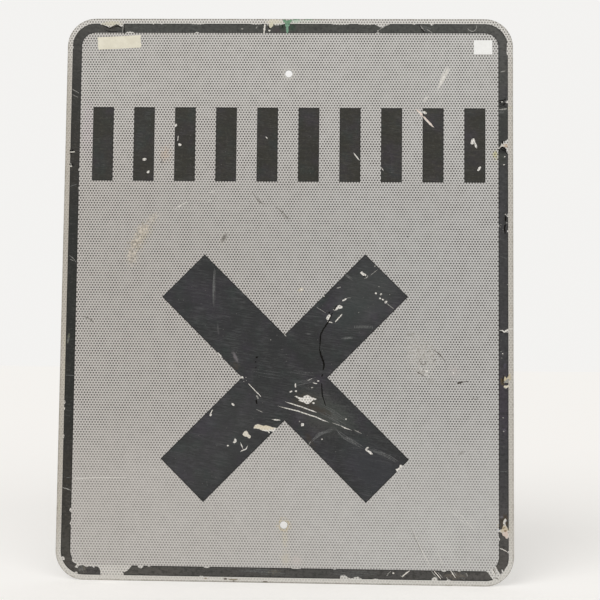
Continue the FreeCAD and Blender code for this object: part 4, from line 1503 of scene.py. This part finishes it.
FILM_MARKS = (
    MarkSet(
        "film_cuts", Layer.FILM, BARE_CUT,
        (
            Stroke(((-32.9, 367.8), (-33.5, 361), (-34.1, 354.2)), 2.8),
            Stroke(((285.4, 204.6), (283.6, 203), (286.6, 202.6), (288, 203.8)), 1.5),
            Stroke(((288.9, -287.4), (287.4, -290.5), (286.2, -294.5)), 2.2),
            Stroke(((-292.5, 191.4), (-286.6, 192.3)), 1.5), Stroke(((74.2, -22.9), (65.3, -33.5)), 1.8),
            Stroke(((54.8, -32.6), (61.5, -34.7)), 1.5),
            Stroke(((-48.7, -115.9), (-41.3, -123.6), (-34.5, -130.1), (-31.8, -133.3)), 1.3),
            Stroke(((281.4, -42.5), (285.3, -42.6), (288.2, -44.6), (292.8, -40.8)), 1.7),
            Stroke(((286.6, -44.4), (289.4, -43.6), (292.8, -41.2)), 2.4),
            Stroke(((281.3, -325.6), (286, -327.2), (290.8, -330)), 1.3),
            Stroke(((154.7, -364.5), (158.6, -360.8), (164.6, -356.1)), 1.9),
            Stroke(((196.5, -356.2), (205.3, -366.3)), 1.6), Stroke(((217.9, -355.3), (224.1, -364.4)), 1.3),
            Stroke(((-95.6, -150.7), (-99.5, -158.6)), 1.4),
        ),
        (
            Spot((-26.6, 358.7), 3.4, 2.8), Spot((50.1, 0.5), 2, 1.8), Spot((285.3, -73.1), 2.2, 1.8),
            Spot((288.6, 188.4), 2.4, 1.4, 25), Spot((287.6, 177.8), 3, 1.3), Spot((285.2, 262.4), 2.2, 1.5),
            Spot((143.6, -359.6), 3.4, 2.6), Spot((-183.8, 367.6), 2, 1.6), Spot((289.4, 111.3), 1.4, 1.8),
            Spot((-291.4, 172.4), 2.8, 1.6), Spot((-57.2, -108.1), 3.6, 3.2),
        ),
        seed=2,
    ),
    MarkSet(
        "film_scrapes", Layer.FILM, PALE_SCRAPE,
        (
            Stroke(((-224.7, 367.6), (-225.9, 355.5)), 1.1),
            Stroke(((281.4, 252), (285.6, 252.2), (292.2, 253.2)), 1.9),
            Stroke(((283.4, 302.9), (289.8, 304.3)), 1.1),
            Stroke(((-292.4, -255.4), (-286.5, -257.1), (-281, -258.9)), 1.5),
            Stroke(((287, -110.9), (291.6, -108.2), (293.4, -106)), 3.2), Stroke(((-9.6, 368), (-9.6, 366)), 1.6),
            Stroke(((192.8, -356.1), (202.2, -366.8)), 1.4), Stroke(((200.9, -357.4), (207.2, -364.7)), 1.2),
            Stroke(((212.1, -363.6), (215, -367.1)), 1.3), Stroke(((221.2, -355.8), (225.1, -361.8)), 0.9),
            Stroke(((152.6, -362.2), (155.3, -364.7)), 1.2), Stroke(((135.9, -361), (140.3, -357.4)), 0.8),
            Stroke(((-43, 364.4), (-44.8, 361.7)), 1.6), Stroke(((-292.4, 277.8), (-283.1, 272.4)), 0.9),
            Stroke(((-292, 270.4), (-284.3, 266.3)), 0.7), Stroke(((-292.4, 176.2), (-290, 172.2)), 1.3),
            Stroke(((-291, 52.1), (-286.2, 48.8), (-281.4, 42.8)), 0.7), Stroke(((-290, 47), (-285, 45)), 0.6),
            Stroke(((126, 364), (121.5, 360)), 0.9), Stroke(((134.9, 367.2), (126, 364)), 0.8),
            Stroke(((176.3, 365.7), (182.3, 358.1)), 1.2), Stroke(((183.9, 361.1), (192.4, 356)), 1),
            Stroke(((251.5, 366.4), (250.8, 361.7), (247.5, 358.3), (242.7, 358.9), (239.4, 362)), 1.2),
            Stroke(((237.5, -357.5), (239.9, -362.3)), 1.4), Stroke(((134.6, -363), (137.4, -361.4)), 1),
            Stroke(((-37.9, -131.4), (-35.1, -136)), 2.4), Stroke(((-37.7, -149.8), (-29, -153.6)), 1),
            Stroke(((-2.7, -49.4), (0.7, -53.3)), 1.4), Stroke(((103.4, 24.3), (106.7, 26), (107.8, 28.8)), 1.2),
            Stroke(((111.2, 28.8), (121.1, 36.7)), 0.7), Stroke(((66.8, 11.2), (72.3, 12.9)), 1.3),
            Stroke(((81.3, -1.4), (85.7, -1.3)), 0.9), Stroke(((40.2, -14), (52.5, -21.6)), 0.7),
            Stroke(((133.3, -8.4), (142.3, -15.4)), 1.3), Stroke(((62.4, -166.1), (72.7, -169.5)), 1.3),
            Stroke(((91.3, -175.1), (101, -179.7)), 0.9), Stroke(((31.9, -195), (34.3, -190.8)), 1.1),
        ),
        (
            Spot((-63.4, 360.8), 2.8, 2.4), Spot((119.3, 358.5), 3.6, 2.8, 30), Spot((291.2, 100), 1.8, 1.6),
            Spot((283.4, 98), 1.3, 1.3), Spot((282.9, 94.5), 1.2, 1.2), Spot((286.3, 91.3), 1.2, 1.1),
            Spot((283.4, -70.2), 1.4, 1.2), Spot((284.3, -78.8), 1.5, 1.3), Spot((285.8, -156.7), 1.8, 1.6),
            Spot((286.7, -174.6), 2, 1.8), Spot((292, 18.1), 1.8, 1.4), Spot((-56.1, -109.4), 2.6, 2.2),
            Spot((-52.1, -108), 1.5, 1.3), Spot((-54.7, -113.3), 1.6, 1.2), Spot((-51.4, -112), 1.4, 1.2),
            Spot((19.2, -165.1), 2.2, 1.8), Spot((117.2, 41.1), 2.4, 2), Spot((-20, -58), 1.6, 1.4),
            Spot((122.6, 14), 1.4, 1.2), Spot((137, 3.4), 1.4, 1.2), Spot((96, -20.6), 1.6, 1),
        ),
        seed=3,
    ),
    MarkSet(
        "film_scuffs", Layer.FILM, GREY_SCUFF,
        tuple(Stroke(((90.6 + 2.1 * step, -37.7), (91.4 + 2.1 * step, -41.6)), 1.1) for step in range(12)) + (
            Stroke(((-288.1, -242.3), (-282, -242.2)), 1), Stroke(((-292.3, -107.6), (-279.9, -108.1)), 0.8),
            Stroke(((281.9, 55.6), (291.6, 52.4)), 0.7), Stroke(((281.8, -226.8), (291.4, -226.6)), 0.8),
            Stroke(((-292.4, 145), (-282.6, 148.5)), 1), Stroke(((25.7, -101), (28.5, -100.6)), 0.9),
            Stroke(((30.5, -100.4), (32.6, -100.6)), 0.8), Stroke(((34, -101), (36.4, -100.8)), 0.8),
        ),
        brushes=(
            Brush(((174.1, 366.6), (183, 362), (191.7, 357.7)), 6, 6, 0.6),
            Brush(((-268, -356.5), (-266, -361), (-263.5, -366)), 7, 5, 0.9),
            Brush(((228, -357), (235, -361), (240, -366)), 9, 6, 0.7),
            Brush(((-60, -359), (-20, -361), (10, -362)), 8, 7, 0.6),
            Brush(((60, -358.5), (95, -362), (125, -360)), 8, 6, 0.6),
            Brush(((-290.4, -65.3), (-289.3, -58), (-288.7, -52.6)), 1.8, 3, 0.9),
            Brush(((-14, -358.6), (-13, -363)), 6, 4, 0.8),
            Brush(((31.9, -195), (39.7, -185.4), (46.9, -180.6), (57.7, -177.4), (67.3, -172)), 3.4, 6),
            Brush(((67.3, -172), (74.5, -183.7), (84.2, -187.1), (98.6, -195.1), (103.4, -198.5)), 4.6, 8),
            Brush(((104, -197), (119.5, -202.5), (135, -208), (149.8, -217.1)), 5, 7),
            Brush(((42, -146), (58, -153), (82, -168)), 13, 11, 0.6),
            Brush(((8, -99), (24, -102), (44, -103)), 6, 3, 0.4),
            Brush(((-46, -98), (-20, -103), (8, -106)), 12, 3, 0.35),
            Brush(((12, -116), (30, -112), (44, -108)), 5, 4),
            Brush(((-95.2, 37), (-96.6, 12), (-96, -15)), 3, 5, 0.8),
            Brush(((73, -55.6), (86, -54.2), (93.4, -54.9)), 2.6, 4), Brush(((76.6, 30.4), (88.4, 22.6)), 2.4, 3),
        ),
        seed=4,
    ),
    MarkSet(
        "film_cracks_and_shadows", Layer.FILM, CRACK_DIRT_AND_SHADOW,
        (
            Stroke(((61.4, -21.5), (55.9, -33.6), (47.1, -48.1), (45.5, -62.4), (44.8, -69.8)), 2.3),
            Stroke(((44.8, -69.8), (47.4, -79), (50.9, -89.5), (49.6, -97.4)), 2.8),
            Stroke(((48, -114.4), (49.2, -130.1), (53.9, -144.4)), 1.8), Stroke(((63, -18.5), (67.5, -11.5)), 1.7),
            Stroke(((-38.2, -136.7), (-37.3, -142.6)), 2.6),
            Stroke(((281.4, -44.6), (287, -45.4), (292.6, -43.4)), 1.2),
            Stroke(((174.7, 366.4), (177.7, 360.9), (181.7, 357.1)), 2), Stroke(((-29.4, 366), (-25.5, 360.6)), 1.6),
            Stroke(((-224.1, 366.9), (-223.6, 353.9)), 1.8),
            Stroke(((280.9, 264.9), (282.9, 264), (287, 264.4), (290.7, 266.5)), 1.8),
            Stroke(((281.2, 260), (285.6, 257.7), (290.3, 256.3)), 1.2), Stroke(((281.6, 257), (286, 255.2)), 1),
            Stroke(((285.3, 209.8), (285.9, 205.6)), 2.4), Stroke(((289.6, 109.3), (289.3, 101.7)), 2.6),
            Stroke(((289.5, 98), (288.2, 92.7), (289.2, 85.5)), 2.8),
            Stroke(((280.5, 193.4), (282.1, 198.6), (286.1, 201.2), (289.3, 198.1), (291.1, 192.5)), 2.6),
            Stroke(((283.4, 198.6), (286.1, 197.5), (289, 196.2)), 2.2),
            # Dark curled film with painted shadow along the lower edges of the bites at the top left.
            Stroke(((-254.2, 365.9), (-248.7, 364), (-243.1, 361.5), (-238.2, 363.5)), 1.8),
            Stroke(((-237.6, 363), (-232.2, 364.4), (-226.6, 361.6)), 1.5),
            Stroke(((-248.6, 358.7), (-240.3, 356.6), (-232, 357.5)), 1.2),
            Stroke(((-9.7, 366.7), (-8.3, 362.3)), 1.4), Stroke(((-29.1, 367.7), (-27.6, 362.8)), 1.4),
            Stroke(((-294, 194), (-292.1, 193.6), (-288.6, 194.3)), 3.2),
            Stroke(((-294.2, 189.6), (-289.3, 190.5)), 1.1),
            Stroke(((-294, 175.5), (-291.9, 175.1), (-289.2, 173.7)), 3),
            Stroke(((-289.8, 175.6), (-287.8, 173.4)), 1.2),
            Stroke(((286.8, -101.3), (285.8, -106.3), (285.6, -111.5)), 1.1),
            Stroke(((194.7, -356.3), (203.8, -366.5)), 1.2), Stroke(((198.8, -357.2), (206.4, -365.7)), 1.2),
        ),
        (
            Spot((-38.2, -81.3), 4.4, 2.6, 25), Spot((-39.4, -87.4), 2.2, 1.8), Spot((-38.9, -94.7), 1.9, 2.4),
            # The spot at (57.2, -21) is painted shadow below and left of a chip in the film.
            Spot((48.6, -104), 4.2, 2.4, 70), Spot((57.2, -21), 3.6, 2, 60), Spot((103, 27.4), 4.4, 1.6, 20),
            Spot((288, 259.4), 4.6, 3, 20), Spot((282.8, 261.8), 3, 1.8), Spot((281, -298.7), 2.6, 2.4),
        ),
        seed=5,
    ),
    MarkSet(
        "paint_on_film", Layer.FILM, GREEN_PAINT,
        (
            Stroke(((-2.6, 355), (-2.8, 361), (-2.9, 367.8)), 3.8), Stroke(((-5.4, 367.6), (-3.6, 363.5)), 2.2),
            Stroke(((0.2, 367.6), (-2, 363.5)), 2),
        ),
        seed=6,
    ),
)

SHEETING_MARKS = (
    MarkSet(
        "paint_on_sheeting", Layer.SHEETING, PALE_GREEN,
        (
            Stroke(((-8.2, 373.6), (-5.6, 370.8), (-3.4, 366.7)), 4.4),
            Stroke(((3.4, 373.6), (0.6, 370.8), (-2.1, 366.7)), 4.4),
            Stroke(((3.7, 373), (8.5, 373.6), (13.9, 373.7)), 1.5), Stroke(((20.8, 374), (31.7, 373.8)), 0.9),
        ),
        (Spot((-2.4, 371), 9, 5),),
        seed=16,
    ),
    MarkSet(
        "sheeting_scrapes", Layer.SHEETING, WHITE_SCRAPE,
        (
            Stroke(((-280, -243.9), (-246, -242), (-207.4, -241.3)), 1.1),
            Stroke(((168.5, -304), (176, -320), (182.5, -334.5), (191.5, -350)), 0.7),
            Stroke(((201, -330), (204, -339), (208.5, -349)), 0.5),
            Stroke(((216, -276), (226, -285), (237, -296)), 0.5),
            Stroke(((222, -275), (235, -288), (250, -305)), 0.5), Stroke(((87.5, 193), (95.6, 182.5)), 1.2),
            Stroke(((-262, 203.7), (-229.8, 209.4)), 1), Stroke(((293, -40.4), (298.6, -40.2)), 1.5),
            Stroke(((271, -352.5), (276, -360.5)), 1.4),
        ),
        (Spot((186.1, -97.2), 4.4, 3, -10), Spot((220.9, -99), 2.6, 2.2), Spot((19.6, 9), 5, 2, 30)),
        (
            Brush(((214.6, 310.7), (207.2, 294.4), (197.7, 275.3)), 5.6, 7, 1.2),
            Brush(((197.7, 275.3), (184.3, 267), (178.9, 258.9)), 3, 3, 0.8),
            Brush(((-156.3, 110.8), (-141.2, 121.4), (-131.8, 125.4)), 1.6, 3, 0.8),
            Brush(((-108.3, 125.7), (-100.7, 128.6)), 1.4, 2, 0.9),
            Brush(((-106.4, 137.4), (-96.8, 140.2)), 1.2, 2, 0.8),
        ),
        seed=7,
    ),
    MarkSet(
        "sheeting_nicks", Layer.SHEETING, DARK_NICK,
        (
            Stroke(((194.5, -69), (200.6, -72.5), (206.5, -79), (211.3, -84.9)), 1.5),
            Stroke(((192.8, -80.9), (195.7, -82.8), (199, -81)), 1.1),
            Stroke(((175.3, -80.6), (181.3, -88.9), (186, -84)), 1),
            Stroke(((171.6, -97.4), (177.6, -100.7), (184.8, -104.9)), 1.4),
            Stroke(((-46.8, 138.8), (-42.7, 132.7), (-36.9, 125.5), (-31.8, 123.4)), 1.3),
            Stroke(((272.5, -352.1), (276.5, -359.9)), 1.6), Stroke(((274.9, -363.2), (279.8, -365.4)), 1.4),
            Stroke(((-270.9, -29.1), (-262, -32), (-255.8, -38.3)), 1.5),
            Stroke(((-15.6, 119.5), (-6, 112), (2, 103.6)), 1.3), Stroke(((-169.3, 184), (-169, 177)), 1.4),
            Stroke(((167, -303.5), (174.5, -320), (181, -335)), 0.6),
            Stroke(((246, -131), (250, -134), (253.5, -130)), 0.8),
        ),
        (Spot((275, -352), 2, 1.6), Spot((270, -356), 1.6, 1.4)),
        seed=8,
    ),
    MarkSet(
        "sheeting_dents", Layer.SHEETING, BLACK_NICK,
        (Stroke(((226, -112.8), (229.5, -111.6), (234, -110.7)), 3.2), Stroke(((233, -110.8), (241.3, -109.4)), 1.2)),
        (Spot((279.6, -306), 2.6, 1.6, 40), Spot((276, -302), 3.6, 1.4)),
        seed=10,
    ),
    MarkSet(
        "sheeting_rose_scrape", Layer.SHEETING, ROSE_SCRAPE,
        (Stroke(((170.8, 252), (178, 245.5), (186, 237), (193.6, 227.9)), 3.4),),
        seed=9,
    ),
    MarkSet("sheeting_pit", Layer.SHEETING, PIT_DIRT, spots=(Spot((160.6, 80.6), 2, 1.9),), seed=11),
)


@dataclass
class Wear:
    """Every set of crisp marks on the face."""

    sets: tuple[MarkSet, ...] = FILM_MARKS + SHEETING_MARKS

    def build(self) -> None:
        """Build the sets of marks."""
        for marks in self.sets:
            marks.build()
            LOG.info("marks: %s, %d strokes, %d spots", marks.name, len(marks.strokes), len(marks.spots))


@dataclass
class Studio:
    """A plain pale floor, a pale surround and soft light at a plain level.

    Attributes:
        floor_reach: Half the width of the floor, in metres.
        floor_tint: Colour of the floor.
        floor_roughness: Its roughness.
        floor_glow: How much it glows to the camera and to reflections.
        glow_tint: Colour of that glow.
        surround_tint: Colour of the surround.
        surround: How bright the surround looks, where 1 is white.
        fill: Strength of the light from all around.
        suns: Each soft lamp: where it shines from (turn and height in degrees) and its strength.
        softness: Angle that each lamp spans, in degrees.
    """

    floor_reach: float = 12.0
    floor_tint: Rgb = (243, 241, 238)
    floor_roughness: float = 0.9
    floor_glow: float = 0.22
    glow_tint: Rgb = (255, 253, 250)
    surround_tint: Rgb = (255, 254, 252)
    surround: float = 0.9
    fill: float = 0.5
    suns: tuple[tuple[float, float, float], ...] = ((-38.0, 38.0, 0.95), (32.0, 30.0, 0.55))
    softness: float = 40.0

    def seen(self, sheet: Sheet) -> Socket:
        """Draw a mask that is 1 for rays from the camera, a reflection or glass.

        Args:
            sheet: The sheet to draw on.

        Returns:
            The mask.
        """
        path = sheet.node("ShaderNodeLightPath", {}, {}).outputs
        direct = sheet.math("ADD", path["Is Camera Ray"], path["Is Glossy Ray"])
        return sheet.math("ADD", direct, path["Is Transmission Ray"], clamp=True)

    def build_floor(self, level: float) -> None:
        """Build the floor under the sign.

        Args:
            level: Height of the floor, in metres.
        """
        reach = self.floor_reach
        corners = [(-reach, -reach, level), (reach, -reach, level), (reach, reach, level), (-reach, reach, level)]
        mesh = bpy.data.meshes.new("studio_floor")
        mesh.from_pydata(corners, [], [(0, 1, 2, 3)])
        surface = Surface("studio_floor")
        surface.set_evenly(Base_Color=linear(self.floor_tint), Roughness=self.floor_roughness)
        surface.set_evenly(Specular_IOR_Level=0.0, Emission_Color=linear(self.glow_tint))
        glow = surface.sheet.times(self.seen(surface.sheet), self.floor_glow)
        surface.sheet.put(surface.shader.inputs["Emission Strength"], glow)
        mesh.materials.append(surface.material)
        floor = bpy.data.objects.new("studio_floor", mesh)
        bpy.context.scene.collection.objects.link(floor)
        floor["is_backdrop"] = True

    def build_surround(self) -> None:
        """Build the pale surround, which lights the sign more softly than it looks."""
        world = bpy.data.worlds.new("studio_surround")
        world.use_nodes = True
        world.node_tree.nodes.clear()
        sheet = Sheet(world.node_tree)
        strength = sheet.spread(self.seen(sheet), 0.0, 1.0, self.fill, self.surround)
        inputs = {"Color": linear(self.surround_tint), "Strength": strength}
        backdrop = sheet.node("ShaderNodeBackground", {}, inputs)
        sheet.node("ShaderNodeOutputWorld", {}, {"Surface": backdrop.outputs[0]})
        bpy.context.scene.world = world

    def build_suns(self) -> None:
        """Build the soft lamps."""
        for number, (turn, height, strength) in enumerate(self.suns, 1):
            lamp = bpy.data.lights.new(f"soft_lamp_{number}", "SUN")
            lamp.energy = strength
            lamp.angle = math.radians(self.softness)
            holder = bpy.data.objects.new(lamp.name, lamp)
            tilt = Matrix.Rotation(math.radians(90 - height), 4, "X")
            holder.matrix_world = Matrix.Rotation(math.radians(turn), 4, "Z") @ tilt
            bpy.context.scene.collection.objects.link(holder)

    def build(self, level: float) -> None:
        """Build the floor, the surround and the lamps.

        Args:
            level: Height of the floor, in metres.
        """
        self.build_floor(level)
        self.build_surround()
        self.build_suns()


@dataclass
class PhotoCamera:
    """The photograph's point of view, as the sign's turn and place in front of a level camera.

    Attributes:
        lens: Focal length, in millimetres.
        film: Width of the film, in millimetres.
        turns: The sign's turns about X, Y and Z in degrees.
        place: The middle of the sign, across, away from and above the camera, in millimetres.
    """

    lens: float = 54.0
    film: float = 36.0
    turns: tuple[float, float, float] = (-3.050, 0.597, -1.425)
    place: tuple[float, float, float] = (-18.2, 1196.3, 4.8)

    def build(self) -> None:
        """Build the camera and make it the scene's own."""
        about_x, about_y, about_z = (
            Matrix.Rotation(math.radians(turn), 4, axis) for turn, axis in zip(self.turns, "XYZ")
        )
        sign_in_view = Matrix.Translation(Vector(self.place) * MM) @ (about_y @ about_x @ about_z)
        look_level = Matrix.Rotation(math.radians(90), 4, "X")
        optics = bpy.data.cameras.new("photo_camera")
        optics.lens = self.lens
        optics.sensor_width = self.film
        camera = bpy.data.objects.new("photo_camera", optics)
        camera.matrix_world = sign_in_view.inverted() @ look_level
        bpy.context.scene.collection.objects.link(camera)
        bpy.context.scene.camera = camera


def main() -> None:
    """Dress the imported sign, mark its wear, and set up the studio and the camera."""
    logging.basicConfig(level=logging.INFO, format="%(name)s: %(message)s")
    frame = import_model()
    cad_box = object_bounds()
    bpy.context.scene.view_settings.view_transform = "Standard"
    for assembly in (FacedBlank(), BorderFilms(), CrossFilm(), StripeRow(), Stickers()):
        assembly.build(frame["nodes"])
        LOG.info("dressed: %s", type(assembly).__name__)
    Wear().build()
    Studio().build(cad_box[0][2])
    PhotoCamera().build()
    LOG.info("studio and camera are in place")


if __name__ == "__main__":
    main()
